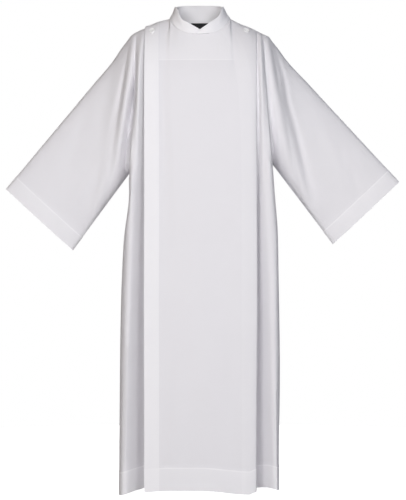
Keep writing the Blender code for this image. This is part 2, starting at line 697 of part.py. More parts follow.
def sew_sleeve(side, sleeve, body, column):
    """Joins the sleeve to the armhole along one column of the front or the back."""
    rows = [BODY_ROW_COUNT - 1 - k for k in HALF]
    behind = body.grid[rows[HALF_RING // 2]][column].y > 0
    places = [(-k if behind else k) % (2 * HALF_RING) for k in HALF]
    points = [body.grid[i][column].copy() for i in rows]
    outwards = [body.outward[i][column] for i in rows]
    others = [sleeve.own_outward[place] for place in places]
    outwards[-1] = Vector((side, 0.0, 0.0))
    outwards[0] = Vector((others[0].x, 0.0, others[0].z)).normalized()
    frames = seam_frames(points, outwards, others, Vector((-side, 0.0, SEAM_LEAN)))
    for i, place, point, (shared, depth, back) in zip(rows, places, points, frames):
        body.outward[i][column], body.depth[i][column] = shared, depth
        body.grid[i][column] = point + back
        sleeve.outward[0][place], sleeve.depth[0][place] = shared, depth
        sleeve.grid[0][place] = point - back


# ---- the collar, the label and the buttons -------------------------------------------------
def collar_foot(turn):
    """The collar's foot, which follows the straight steps of the seam below it."""
    before = math.floor(turn / NECK_STEP) * NECK_STEP
    on_seam = neckline(before).lerp(neckline(before + NECK_STEP), (turn - before) / NECK_STEP)
    return on_seam + Vector((0.0, 0.0, SEAM))


def make_collar():
    """The collar: one strip round the neck, whose ends cross in front, left over right."""
    grid = [[] for _ in range(COLLAR_RISE_STEPS + 1)]
    outward = [[] for _ in grid]
    for turn in (COLLAR_ROWS[0][0], *range(0, 361, NECK_STEP), COLLAR_ROWS[-1][0]):
        foot = collar_foot(turn)
        ahead, across = math.cos(math.radians(turn)), math.sin(math.radians(turn))
        depth = COLLAR_TOP_FRONT if ahead > 0 else COLLAR_TOP_BACK
        x = COLLAR_TOP_SHIFT - COLLAR_TOP_REACH * power(across, COLLAR_SQUARE)
        full = Vector((x, -depth * power(ahead, COLLAR_SQUARE), COLLAR_HEIGHT))
        top = foot.lerp(full, (read(COLLAR_ROWS, 1, turn) - foot.z) / (COLLAR_HEIGHT - foot.z))
        away = Vector((foot.x + top.x, foot.y + top.y, 0.0)).normalized()
        lap = read(COLLAR_ROWS, 2, turn)
        for r, row in enumerate(grid):
            up = r / COLLAR_RISE_STEPS
            row.append(foot.lerp(top, up) + away * (lap + COLLAR_BULGE * math.sin(math.pi * up)))
            outward[r].append((away + Vector((0.0, 0.0, COLLAR_LEAN * up))).normalized())
    collar = Sheet(grid)
    collar.outward = outward
    return collar


def make_label():
    """The label's face: it hangs from the collar's seam, just inside the back."""
    grid = []
    for i in range(LABEL_STEPS + 1):
        below = mix(LABEL_HEIGHT, LABEL_DROP, i / LABEL_STEPS)
        row = []
        for j in range(LABEL_STEPS + 1):
            x = LABEL_WIDTH * (j / LABEL_STEPS - 0.5)
            top = neck_at(x, 1)
            chest = Vector((x, read(BODY_ROWS, 3, CHEST_LEVEL), CHEST_LEVEL))
            row.append(over_top(top, chest, top.z - below))
        grid.append(row)
    label = Sheet(grid, facing=-1)
    inwards = CLOTH + LABEL_GAP
    label.grid = [
        [point - out * inwards for point, out in zip(points, outs)]
        for points, outs in zip(label.grid, label.outward)
    ]
    return label


def panel_place(x, height):
    """A point of the panel's face above the chest."""
    chest = Vector((x, panel_y(x, CHEST_LEVEL), CHEST_LEVEL))
    return over_top(panel_top(x), chest, height)


def lathe(mesh, profile, segments, middle):
    """Adds a closed round body about an upright axis through middle, where the profile ends."""
    turns = [2 * math.pi * k / segments for k in range(segments)]
    rings = []
    for radius, height in profile:
        level = middle + Vector((0.0, 0.0, height))
        if radius == 0:
            rings.append([mesh.verts.new(level)] * segments)
            continue
        spokes = [Vector((math.cos(turn), math.sin(turn), 0.0)) * radius for turn in turns]
        rings.append([mesh.verts.new(level + spoke) for spoke in spokes])
    for low, high in zip(rings, rings[1:]):
        for k in range(segments):
            n = (k + 1) % segments
            corners = list(dict.fromkeys((low[k], low[n], high[n], high[k])))
            mesh.faces.new(corners)
    bmesh.ops.recalc_face_normals(mesh, faces=mesh.faces)


def make_button(side, plastic):
    """A four-hole button that lies on the panel just below the shoulder."""
    x, height = BUTTON_PLACES[side]
    point = panel_place(x, height)
    right = panel_place(x + BUTTON_RADIUS, height) - panel_place(x - BUTTON_RADIUS, height)
    up = panel_place(x, height + BUTTON_RADIUS / 2) - panel_place(x, height - BUTTON_RADIUS / 2)
    outward = right.cross(up).normalized()
    turn = outward.to_track_quat("Z", "Y")
    profile = [(0.0, 0.0), *((BUTTON_RADIUS - inset, level) for inset, level in BUTTON_PROFILE)]
    mesh = bmesh.new()
    lathe(mesh, profile, BUTTON_STEPS, Vector((0.0, 0.0, 0.0)))
    button = finish(f"button_{side_name(side)}", mesh, plastic)
    drill = [(0.0, DRILL_FROM), (BUTTON_HOLE, DRILL_FROM), (BUTTON_HOLE, DRILL_TO), (0.0, DRILL_TO)]
    mesh = bmesh.new()
    for k in range(HOLES):
        angle = 2 * math.pi * (k + 0.5) / HOLES
        middle = Vector((math.cos(angle), math.sin(angle), 0.0)) * BUTTON_HOLE_REACH
        lathe(mesh, drill, HOLE_STEPS, middle)
    cutter = finish(f"button_{side_name(side)}_holes", mesh, plastic)
    cutter.hide_render = True
    cut = button.modifiers.new("holes", "BOOLEAN")
    cut.operation = "DIFFERENCE"
    cut.solver = "EXACT"
    cut.object = cutter
    for thing in (button, cutter):
        thing.location = point + outward * BUTTON_GAP
        thing.rotation_mode = "QUATERNION"
        thing.rotation_quaternion = turn


def side_name(side):
    return "right" if side == RIGHT else "left"


# ---- scene ---------------------------------------------------------------------------------
def make_material(name, colour, roughness):
    material = bpy.data.materials.new(name)
    material.use_nodes = True
    shader = material.node_tree.nodes["Principled BSDF"]
    shader.inputs["Base Color"].default_value = (*colour, 1.0)
    shader.inputs["Roughness"].default_value = roughness
    shader.inputs["Metallic"].default_value = 0.0
    return material


def level_seams(sheet, columns, face):
    """Holds the sheet's side and shoulder seams in the plane between front and back."""
    for i in range(SKIRT_ROWS):
        for j in columns:
            sheet.level_seam(i, j, face)
    for j in range(sheet.across):
        if abs(sheet.grid[-1][j].y) < SEAM:
            sheet.level_seam(-1, j, face)


def main():
    for thing in list(bpy.data.objects):
        bpy.data.objects.remove(thing)
    cloth = make_material("white_cloth", (0.86, 0.85, 0.87), 0.85)
    black = make_material("black_label", (0.012, 0.012, 0.013), 0.6)
    plastic = make_material("white_plastic", (0.88, 0.87, 0.86), 0.3)
    over, under, back = make_over_front(), make_under_front(), make_back()
    sleeves = {side: make_sleeve(side) for side in (RIGHT, LEFT)}
    for side, front, column in ((RIGHT, under, 0), (LEFT, over, -1)):
        sew_sleeve(side, sleeves[side], front, column)
        sew_sleeve(side, sleeves[side], back, column)
    level_seams(over, (-1,), -1)
    level_seams(under, (0,), -1)
    level_seams(back, (0, -1), 1)
    wall("front_over", over, cloth, lambda i, j: DOUBLED if i < 2 or j < 3 else CLOTH)
    wall("front_under", under, cloth, lambda i, j: DOUBLED if i < 2 else CLOTH)
    wall("back", back, cloth, lambda i, j: DOUBLED if i < 2 else CLOTH)
    cuff = len(SLEEVE_ROWS) + 1
    for side, sleeve in sleeves.items():
        name = f"sleeve_{side_name(side)}"
        wall(name, sleeve, cloth, lambda i, j: DOUBLED if i >= cuff else CLOTH)
    wall("collar", make_collar(), cloth, lambda i, j: COLLAR_CLOTH)
    wall("neck_label", make_label(), black, lambda i, j: LABEL_THICKNESS)
    for side in (RIGHT, LEFT):
        make_button(side, plastic)


main()
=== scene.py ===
"""Finishes the alb: sewn cloth shells with their folds, stitching, collar, label and buttons,
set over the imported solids, with its camera, light and floor.

Metres, +Z up. The wearer faces -Y, and the wearer's left is +X.
"""

import math
from bisect import bisect_right

import bmesh
import bpy
import numpy as np
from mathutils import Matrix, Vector


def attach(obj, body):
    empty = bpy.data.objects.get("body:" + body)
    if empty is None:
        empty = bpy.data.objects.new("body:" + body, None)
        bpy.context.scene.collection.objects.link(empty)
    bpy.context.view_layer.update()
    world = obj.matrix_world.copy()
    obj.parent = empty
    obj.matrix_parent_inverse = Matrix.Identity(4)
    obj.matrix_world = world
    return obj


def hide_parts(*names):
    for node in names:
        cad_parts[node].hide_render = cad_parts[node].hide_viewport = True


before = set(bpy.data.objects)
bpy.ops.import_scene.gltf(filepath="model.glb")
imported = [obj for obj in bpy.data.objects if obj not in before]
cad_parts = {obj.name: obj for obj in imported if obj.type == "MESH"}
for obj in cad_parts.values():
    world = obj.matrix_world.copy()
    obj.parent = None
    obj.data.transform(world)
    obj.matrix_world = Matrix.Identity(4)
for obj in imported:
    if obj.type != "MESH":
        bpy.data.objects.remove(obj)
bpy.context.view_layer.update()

# ---- sizes shared with the solids -----------------------------------------------------------
HEM_DEPTH = 0.070  # turned-up hem of the skirt
CUFF_HEM_DEPTH = 0.050  # turned-up hem of the sleeves

NECK_STEP = 10  # degrees between points of the neckline
NECK_REACH = 0.094  # half the neck's width at the shoulder seams
NECK_HEIGHT = 0.009  # height of the neckline at its sides
NECK_FRONT, NECK_BACK = 0.088, 0.075  # depth of the neck, forwards and backwards
NECK_FRONT_DROP, NECK_BACK_DROP = 0.058, 0.002  # the neckline falls this far below its sides
SHOULDER_REACH = 0.196  # the shoulder seam ends here, at the armhole
CHEST_LEVEL = -0.240  # from here up the cloth curves over the chest and the shoulders
HEM_LEVEL = -1.440  # about the height of the hem
# Powers of the curves: below 1 an oval is squarer, and a shoulder rounds over more suddenly.
NECK_POWER, NECK_FALL_POWER, SHOULDER_POWER, SLEEVE_POWER = 0.8, 1.4, 0.55, 0.95
ROUND_FROM, ROUND_TO = 0.030, 0.150  # between these reaches the slope becomes a round shoulder
LEAST_TURN = 0.2  # a seam nearer the shoulder's top than this share isn't followed further

PANEL_REACH = 0.1715  # the panel's pressed fold on the left lies this far from the middle
PANEL_RIGHT = 0.1685  # its free edge on the right lies here
PANEL_FACING = 0.045  # doubled strip along the panel's free edge
PANEL_LIFT = 0.0045  # on the right the panel lies this far above the shoulder seam
UNDERLAP_REACH = 0.118  # the under front passes behind the panel up to here
UNDERLAP_DEPTH = 0.014  # and lies this far behind it
UNDERLAP_BEND = 0.150  # from this reach inwards it lies flat
UNDERLAP_TOP_INSET = 0.004  # its free edge leans in by this much at the top
UNDERLAP_DROP = 0.006  # at the left shoulder it lies this far in front of the seam and below it
UNDERLAP_NECK_SHIFT, UNDERLAP_NECK_DROP = 0.004, 0.0055  # and this far behind and below the neck
UNDERLAP_NECK_TURN = 0.020  # the shift begins over this width
UNDERLAP_RISE = 0.004  # its hem is higher by this much behind the panel
UNDERLAP_RISE_FROM, UNDERLAP_RISE_WIDTH = -0.175, 0.020  # it rises from this x, over this width
FOLD = 0.004  # radius of the pressed fold at the panel's left edge
FOLD_TURNS = (0, 35, 65)  # degrees of the points round it
FOLD_BACK = 0.001  # behind the fold the cloth reaches out by this much more
# The corner of the front's cut near its outer seam, beside the armhole and down the skirt: how
# far in from the seam it lies, and how far forward as a share of the crest.
SIDE_TUCK, SIDE_SHARE = (0.006, 0.003), (0.90, 0.78)
SIDE_EASE = 0.32  # below the underarm the first becomes the second over this height
SWAY_FROM, SWAY_STEPS = 5, 6  # the left edge's sway begins at this column and grows over these

RIGHT, LEFT = -1, 1  # the wearer's sides, as the sign of X

# Sizes of the body at each height: the side seams' reach from the middle on the wearer's
# right and left, and how far the back stands behind the origin.
BODY_ROWS = [
    # height, right, left, back
    (-1.460, 0.2480, 0.2430, 0.165),
    (-1.330, 0.2480, 0.2430, 0.160),
    (-1.175, 0.2465, 0.2450, 0.153),
    (-1.020, 0.2450, 0.2450, 0.147),
    (-0.865, 0.2420, 0.2420, 0.142),
    (-0.710, 0.2355, 0.2390, 0.138),
    (-0.610, 0.2285, 0.2370, 0.137),
    (-0.550, 0.2195, 0.2320, 0.136),
    (-0.520, 0.2165, 0.2290, 0.135),
    (-0.470, 0.2175, 0.2235, 0.134),
    (-0.240, 0.2175, 0.2235, 0.133),
]

# The soft fold between each side seam and the panel: how far its crest and the valley behind
# the panel's edge lie from the middle, and how far forward each of them stands.
FOLD_ROWS = [
    # height, crest, crest_forward, valley, valley_forward
    (-1.460, 0.2260, 0.118, 0.1660, 0.056),
    (-1.330, 0.2250, 0.117, 0.1660, 0.058),
    (-1.175, 0.2220, 0.116, 0.1660, 0.060),
    (-1.020, 0.2190, 0.115, 0.1660, 0.063),
    (-0.865, 0.2145, 0.115, 0.1660, 0.068),
    (-0.710, 0.2080, 0.116, 0.1665, 0.077),
    (-0.555, 0.2000, 0.118, 0.1670, 0.088),
    (-0.430, 0.1920, 0.121, 0.1680, 0.102),
    (-0.240, 0.1860, 0.124, 0.1680, 0.112),
]

# The front panel: how far forward its middle and its edges stand, and how far its right and
# left edges sway to the left of their straight lines.
PANEL_ROWS = [
    # height, middle, edge, right_sway, left_sway
    (-1.445, 0.155, 0.147, 0.0010, -0.0020),
    (-1.175, 0.150, 0.142, 0.0010, -0.0005),
    (-0.865, 0.145, 0.137, 0.0000, 0.0020),
    (-0.555, 0.140, 0.132, 0.0005, 0.0015),
    (-0.240, 0.136, 0.127, 0.0000, 0.0000),
]

# The top edge of the shoulder and sleeve at each reach from the middle, on each side.
SHOULDER_ROWS = [
    # reach, right, left
    (0.0940, 0.0045, 0.0090),
    (0.1085, 0.0015, 0.0020),
    (0.1300, -0.0047, -0.0085),
    (0.1430, -0.0108, -0.0126),
    (0.1640, -0.0175, -0.0222),
    (0.1830, -0.0250, -0.0312),
    (0.1960, -0.0315, -0.0380),
    (0.2140, -0.0436, -0.0474),
    (0.2230, -0.0560, -0.0600),
    (0.2325, -0.0684, -0.0715),
    (0.2480, -0.0870, -0.0905),
    (0.2670, -0.1180, -0.1180),
]

# Heights of the hem from the right side seam round the front and the back to the left one,
# at each place across.
HEM_ROWS = [
    # x, front, back
    (-0.248, -1.4540, -1.4540),
    (-0.215, -1.4440, -1.4530),
    (-0.172, -1.4370, -1.4520),
    (-0.080, -1.4310, -1.4500),
    (0.000, -1.4310, -1.4480),
    (0.155, -1.4430, -1.4430),
    (0.172, -1.4350, -1.4420),
    (0.215, -1.4290, -1.4410),
    (0.248, -1.4400, -1.4400),
]

# Each sleeve: the underarm and the two ends of the cuff, as reach and height, and how far the
# armhole seam bows in towards the neck.
SLEEVE_ENDS = {
    # side: underarm, cuff_top, cuff_under, bow
    RIGHT: ((0.2185, -0.470), (0.601, -0.518), (0.394, -0.707), 0.003),
    LEFT: ((0.2240, -0.441), (0.617, -0.496), (0.412, -0.688), 0.005),
}
STRAIGHT_FROM = 0.267  # past this reach the sleeve's top edge is straight

# The sleeve's cuts from the armhole outwards. The top end of each is a reach on the shoulder
# line and then a share of the straight edge past it; the under end is a share of the
# underside. front and back are half the thickness before and behind, and the folds are the
# rise (or the fall, if negative) of the radiating folds on each face.
SLEEVE_ROWS = [
    # top_reach, top_share, under_share, front, front_fold, back, back_fold
    (0.1960, 0.00, 0.000, 0.093, 0.000, 0.074, 0.000),
    (0.2030, 0.00, 0.120, 0.097, 0.003, 0.072, 0.000),
    (0.2090, 0.00, 0.260, 0.093, 0.003, 0.071, 0.000),
    (0.2150, 0.00, 0.400, 0.082, -0.003, 0.064, -0.008),
    (0.2240, 0.00, 0.500, 0.075, 0.000, 0.060, 0.001),
    (0.2390, 0.00, 0.570, 0.067, 0.002, 0.055, 0.004),
    (0.2670, 0.00, 0.620, 0.058, 0.002, 0.050, 0.002),
    (0.2670, 0.20, 0.665, 0.049, 0.000, 0.045, -0.003),
    (0.2670, 0.44, 0.710, 0.041, 0.000, 0.040, 0.000),
    (0.2670, 0.68, 0.755, 0.035, 0.000, 0.035, 0.001),
]
CUFF_THICKNESS, CUFF_HEM_THICKNESS = 0.030, 0.031  # half the thickness at the cuff and its hem
HALF_RING = 12  # steps from the sleeve's top edge to its underside
HALF = range(HALF_RING + 1)

# Soft folds down the back: where each lies across the back (-1 at the right side seam, 1 at
# the left), half its width in the same measure, its rise at the hem, and its top end.
BACK_FOLDS = [
    # across, half_width, rise, top
    (-0.78, 0.13, 0.014, -0.34),
    (-0.53, 0.15, -0.018, -0.20),
    (-0.27, 0.13, 0.016, -0.46),
    (0.01, 0.16, -0.018, -0.28),
    (0.29, 0.14, 0.017, -0.52),
    (0.55, 0.14, -0.016, -0.22),
    (0.79, 0.12, 0.013, -0.38),
]
BACK_SHOULDER = 5  # steps along each shoulder seam behind
BACK_HEM_REACH = 0.245  # half the hem's width behind
# From this height up the back's columns spread out evenly, by this share over this distance.
BACK_EVEN_FROM, BACK_EVEN_OVER, BACK_EVEN = -0.50, 0.16, 0.75
BACK_POWER_BELOW, BACK_POWER_ABOVE = 0.38, 0.62  # how round the back is, below and above it

# Levels of the body's rows above the hem, as shares of the way up to the underarm.
SKIRT_SHARES = [0.15, 0.28, 0.41, 0.54, 0.67, 0.80, 0.91, 1.0]

# The collar, by the turn of each place round the neck: 0 in front, 90 on the wearer's right
# and 180 behind. Its top edge drops in front to the crossing ends, and lap is how far the
# over end stands out from the under end.
COLLAR_ROWS = [
    # turn, top_height, lap
    (-6, -0.0430, 0.0000),
    (0, -0.0338, 0.0000),
    (10, -0.0197, 0.0000),
    (20, -0.0105, 0.0000),
    (30, -0.0031, 0.0000),
    (40, 0.0150, 0.0000),
    (50, 0.0300, 0.0000),
    (60, 0.0380, 0.0000),
    (70, 0.0425, 0.0000),
    (90, 0.0480, 0.0000),
    (135, 0.0565, 0.0000),
    (180, 0.0590, 0.0000),
    (225, 0.0570, 0.0000),
    (270, 0.0490, 0.0000),
    (290, 0.0435, 0.0000),
    (300, 0.0385, 0.0000),
    (310, 0.0300, 0.0000),
    (320, 0.0145, 0.0000),
    (330, 0.0024, 0.0000),
    (340, -0.0065, 0.0018),
    (350, -0.0176, 0.0031),
    (360, -0.0346, 0.0031),
    (366, -0.0456, 0.0031),
]
COLLAR_HEIGHT = 0.059  # the height at which the full collar's top edge would stand
COLLAR_TOP_REACH = 0.0755  # half the collar's width at its top edge
COLLAR_TOP_SHIFT = -0.003  # its top leans this far to the right
COLLAR_TOP_FRONT, COLLAR_TOP_BACK = 0.072, 0.060  # depth of its top edge, forwards and backwards
COLLAR_SQUARE = 0.6  # below 1 the top edge has squarer corners than an oval
COLLAR_RISE_STEPS = 3  # from its foot to its top edge
COLLAR_BULGE = 0.002  # the collar rounds outwards by this much at half its height

BUTTON_GAP = 0.0010  # the button stands this far off the cloth, on its thread
BUTTON_PLACES = {RIGHT: (-0.146, -0.036), LEFT: (0.1415, -0.035)}  # x and height

# ---- sizes of the finish --------------------------------------------------------------------
SHELL = 0.0011  # thickness of a cloth shell
COLLAR_SHELL = 0.0024  # the collar is double cloth over its interfacing
HEM_RISE = 0.0009  # doubled cloth stands out by this much
STEP = 0.003  # and its edge eases down over this width
SEAM = 0.0003  # gap along a seam
UP_SPACING, ACROSS_SPACING = 0.009, 0.0055  # between points of the fine cloth
COLLAR_SPACING, LABEL_SPACING = 0.004, 0.003  # the same, each way, on these small pieces
CREASE_SPACING = 0.02  # between points of a crease's smooth path
CREASE_EDGE = 0.02  # a crease on one face fades this near the side seams
SHARP_ANGLE = math.radians(50)  # edges that turn by more than this stay sharp
NEXT_TO_NOTHING = 1e-12  # a shorter length than this isn't divided by
EDGE_ROLL, EDGE_ROLL_FROM = 0.004, 0.140  # past this x the panel rolls back, up to this much

# The collar's sides are drawn in by this much where the cloth faces sideways. The draw fades as
# the cloth turns this share of the way to the front or back, and grows over this height.
COLLAR_DRAW, COLLAR_DRAW_FROM, COLLAR_DRAW_OVER = 0.0055, 0.9, 0.020
# Behind the right shoulder the collar's foot reaches down past the panel's end to the back. The
# tuck begins over the first of these distances behind the seam, and fades out at the second.
COLLAR_TUCK, TUCK_FROM, TUCK_TO = 0.0035, 0.002, 0.018

# Each sheet: the node that it takes the place of, the rectangle of its cut in metres, the shaped
# cut's area in square metres (None for a plain rectangle), and the piece that holds it up.
SHEETS = {
    # piece: node, flat, area, rests_on
    "front_panel": ("front_over", (0.64, 1.52), 0.80, "neck_collar"),
    "under_front": ("front_under", (0.57, 1.54), 0.68, "neck_collar"),
    "back_panel": ("back", (0.71, 1.50), 0.86, "neck_collar"),
    "right_sleeve": ("sleeve_right", (0.62, 0.635), 0.30, "back_panel"),
    "left_sleeve": ("sleeve_left", (0.62, 0.635), 0.30, "back_panel"),
    "neck_collar": ("collar", (0.63, 0.055), 0.025, "back_panel"),
    "blank_label": ("neck_label", (0.056, 0.044), None, "back_panel"),
}

LABEL_WIDTH, LABEL_HEIGHT, LABEL_THICKNESS = 0.056, 0.042, 0.0010
LABEL_DROP = 0.0003  # its top edge hangs this far below the neckline
LABEL_GAP = 0.0028  # and its face lies this far inside the back
LABEL_STEPS = 8  # up it and across it

STITCH_PITCH, STITCH_LENGTH, STITCH_RADIUS = 0.0032, 0.0027, 0.00028
STITCH_SIDES, STITCH_RINGS = 6, 4
STITCH_INSET = 0.002  # a stitch line runs this far inside the doubled cloth's edge
EDGE_INSET = 0.0022  # a stitch line along an edge is this far in from it
LABEL_INSET = 0.002  # and on the label this far
CHEST_LINE = -0.132  # level of the stitched facing's lower edge across the chest
CHEST_FACING = (-0.124, 0.100)  # it shows from here to here across the panel

# The buttonhole's ends lie this far below and above its button's middle, and its stitches this
# far to each side.
HOLE_BELOW, HOLE_ABOVE, HOLE_SIDE = 0.0130, 0.0095, 0.0013
HOLE_PITCH, HOLE_STITCH, HOLE_STEPS = 0.0006, 0.0022, 8
BUTTON_RADIUS, BUTTON_DEPTH, BUTTON_SIDES = 0.0095, 0.0030, 64
RIM_WIDTH, DISH_SLOPE, DISH_DEPTH = 0.0016, 0.0009, 0.0010  # the button's rim and its dish
BUTTON_HOLE, BUTTON_HOLE_REACH, HOLE_SIDES = 0.0010, 0.0022, 20  # radius, place and roundness
BUTTON_SOFT, SOFT_SEGMENTS, SOFT_FROM = 0.00035, 3, math.radians(20)  # how its edges are rounded
UPRIGHT, SAME_HEIGHT = 0.9, 1e-5  # a flat face's normal rises by this, and its height has this slack
CROSS_REACH = 1.15  # the crossed threads reach out this far, against the holes' own reach
CROSS_APART = 1.7  # and lie this many of their own radii apart
SHANK = 0.0005  # radius of a shank's thread

CLOTH_COLOUR = (0.785, 0.773, 0.803, 1.0)
DOUBLED_COLOUR = (0.88, 0.87, 0.895, 1.0)
THREAD_COLOUR = (0.90, 0.89, 0.91, 1.0)
BLACK_THREAD_COLOUR = (0.035, 0.034, 0.036, 1.0)
TAPE_COLOUR = (0.014, 0.014, 0.016, 1.0)
BUTTON_COLOUR = (0.95, 0.95, 0.95, 1.0)
# How far each doubled field goes from the cloth's colour to the doubled one. The pressed line's share is its
# third layer of cloth together with a painted highlight.
HEM_WHITE, LINE_LAYERS_AND_HIGHLIGHT, CHEST_WHITE, FACING_WHITE, FOLD_WHITE = 0.5, 0.5, 0.4, 0.8, 0.15
EDGE_BLUR, CHEST_BLUR = 0.0007, 0.012  # half the width over which such a field ends
# The pressed lines, whiter for a third layer of cloth and a painted highlight: their half widths at the hems
# and across the chest, and where both have faded.
HEM_LINE, CHEST_SEAM, LINE_END = 0.0012, 0.0010, 0.0026
# Width of the pressed strip at the left fold, and how far across the cloth it ends.
FOLD_STRIP, FOLD_STRIP_END = 0.045, 0.345
CLOUDS, CLOUDING = 9.0, 0.25  # how often the cloth's tone wanders in a metre, and how far
THREAD_PITCH, THREAD_RISE = 0.0011, 0.00012  # two threads of the weave, and their relief
SLUB_SHARE = 0.6  # a slub's relief against a thread's
SLUBS = ((60.0, 900.0, 1.0), (900.0, 60.0, 1.0))  # how often they come in a metre, each way
# Each plain surface's roughness, its grains in a metre, their relief and its sheen.
THREAD = (0.6, 4000.0, 0.0001, 0.1)
TAPE = (0.45, 3000.0, 0.0001, 0.0)
BUTTON = (0.25, 60.0, 0.00004, 0.0)

# Soft troughs and ridges that hang in the cloth, each a smooth path through its rows. Those
# beside an armhole run on from the front into the sleeve, so both pieces have them.
RIGHT_ARMHOLE_CREASES = [
    # x, height, half_width, rise
    [
        (-0.1960, -0.110, 0.004, 0.000),
        (-0.1990, -0.190, 0.007, -0.014),
        (-0.2060, -0.250, 0.009, -0.030),
        (-0.2165, -0.326, 0.010, -0.028),
        (-0.2275, -0.403, 0.011, -0.026),
        (-0.2330, -0.479, 0.012, -0.009),
        (-0.2330, -0.530, 0.012, 0.000),
    ],
    [
        (-0.2070, -0.290, 0.005, 0.000),
        (-0.2100, -0.340, 0.007, 0.008),
        (-0.2140, -0.400, 0.008, 0.018),
        (-0.2170, -0.440, 0.008, 0.014),
        (-0.2190, -0.475, 0.006, 0.000),
    ],
]
LEFT_ARMHOLE_CREASES = [
    # x, height, half_width, rise
    [
        (0.1980, -0.100, 0.006, 0.000),
        (0.2025, -0.185, 0.007, 0.006),
        (0.2065, -0.250, 0.007, 0.007),
        (0.2125, -0.326, 0.008, 0.010),
        (0.2185, -0.400, 0.008, 0.010),
        (0.2230, -0.440, 0.006, 0.000),
    ],
    [
        (0.2080, -0.150, 0.005, 0.000),
        (0.2150, -0.250, 0.006, -0.006),
        (0.2210, -0.326, 0.007, -0.008),
        (0.2270, -0.403, 0.008, -0.007),
        (0.2310, -0.460, 0.008, 0.000),
    ],
]
SLEEVE_FRONT_CREASES = {
    RIGHT: [
        # x, height, half_width, rise
        [
            (-0.2120, -0.060, 0.006, -0.001),
            (-0.2190, -0.124, 0.007, -0.004),
            (-0.2320, -0.185, 0.009, -0.004),
            (-0.2450, -0.247, 0.010, -0.0045),
            (-0.2640, -0.323, 0.012, -0.0035),
            (-0.2780, -0.400, 0.014, -0.002),
            (-0.2985, -0.477, 0.016, -0.001),
            (-0.3100, -0.538, 0.016, 0.000),
        ],
        *RIGHT_ARMHOLE_CREASES,
        [
            (-0.335, -0.240, 0.014, 0.000),
            (-0.372, -0.350, 0.020, -0.0022),
            (-0.400, -0.450, 0.024, -0.0018),
            (-0.420, -0.540, 0.022, 0.000),
        ],
        [
            (-0.300, -0.400, 0.010, 0.000),
            (-0.345, -0.490, 0.016, 0.0018),
            (-0.400, -0.590, 0.020, 0.0020),
            (-0.440, -0.650, 0.020, 0.0010),
        ],
    ],
    LEFT: [
        [
            (0.2300, -0.060, 0.006, 0.000),
            (0.2420, -0.124, 0.008, -0.004),
            (0.2590, -0.185, 0.009, -0.006),
            (0.2680, -0.247, 0.010, -0.007),
            (0.2880, -0.323, 0.011, -0.007),
            (0.3080, -0.400, 0.013, -0.007),
            (0.3270, -0.477, 0.015, -0.006),
            (0.3420, -0.538, 0.018, -0.003),
            (0.3500, -0.584, 0.018, 0.000),
        ],
        [
            (0.2400, -0.170, 0.006, 0.000),
            (0.2480, -0.247, 0.008, 0.006),
            (0.2600, -0.323, 0.010, 0.006),
            (0.2720, -0.400, 0.012, 0.004),
            (0.2850, -0.470, 0.012, 0.000),
        ],
        *LEFT_ARMHOLE_CREASES,
        [
            (0.2690, -0.470, 0.004, 0.000),
            (0.2735, -0.478, 0.005, -0.0015),
            (0.2790, -0.487, 0.004, 0.000),
        ],
        [
            (0.330, -0.200, 0.014, 0.000),
            (0.385, -0.330, 0.022, 0.0018),
            (0.430, -0.430, 0.024, 0.0022),
            (0.470, -0.520, 0.022, 0.0006),
        ],
        [
            (0.400, -0.330, 0.012, 0.000),
            (0.452, -0.450, 0.018, -0.0018),
            (0.500, -0.560, 0.020, -0.0020),
            (0.520, -0.610, 0.018, -0.0008),
        ],
    ],
}
SLEEVE_BACK_CREASES = {
    RIGHT: [
        [
            (-0.2180, -0.080, 0.007, 0.000),
            (-0.2420, -0.185, 0.011, -0.005),
            (-0.2700, -0.290, 0.014, -0.007),
            (-0.3020, -0.400, 0.017, -0.005),
            (-0.3350, -0.500, 0.018, 0.000),
        ],
        [
            (-0.320, -0.230, 0.014, 0.000),
            (-0.365, -0.350, 0.020, 0.0025),
            (-0.405, -0.470, 0.024, 0.0020),
            (-0.440, -0.580, 0.022, 0.000),
        ],
    ],
    LEFT: [
        [
            (0.2150, -0.070, 0.007, 0.000),
            (0.2330, -0.170, 0.010, -0.004),
            (0.2570, -0.270, 0.013, -0.006),
            (0.2850, -0.370, 0.016, -0.004),
            (0.3080, -0.460, 0.016, 0.000),
        ],
        [
            (0.300, -0.170, 0.012, 0.000),
            (0.352, -0.300, 0.020, -0.0025),
            (0.398, -0.410, 0.024, -0.0025),
            (0.446, -0.530, 0.022, 0.000),
        ],
        [
            (0.420, -0.330, 0.012, 0.000),
            (0.470, -0.440, 0.018, 0.0018),
            (0.512, -0.550, 0.018, 0.0004),
        ],
    ],
}
# The ridge that runs down from each side of the neck, with the x of the left one.
NECK_RIDGE = [
    # x, height, half_width, rise
    (0.1000, -0.034, 0.006, 0.000),
    (0.1005, -0.050, 0.008, 0.004),
    (0.1010, -0.070, 0.010, 0.005),
    (0.1040, -0.105, 0.013, 0.003),
    (0.1050, -0.135, 0.012, 0.000),
]
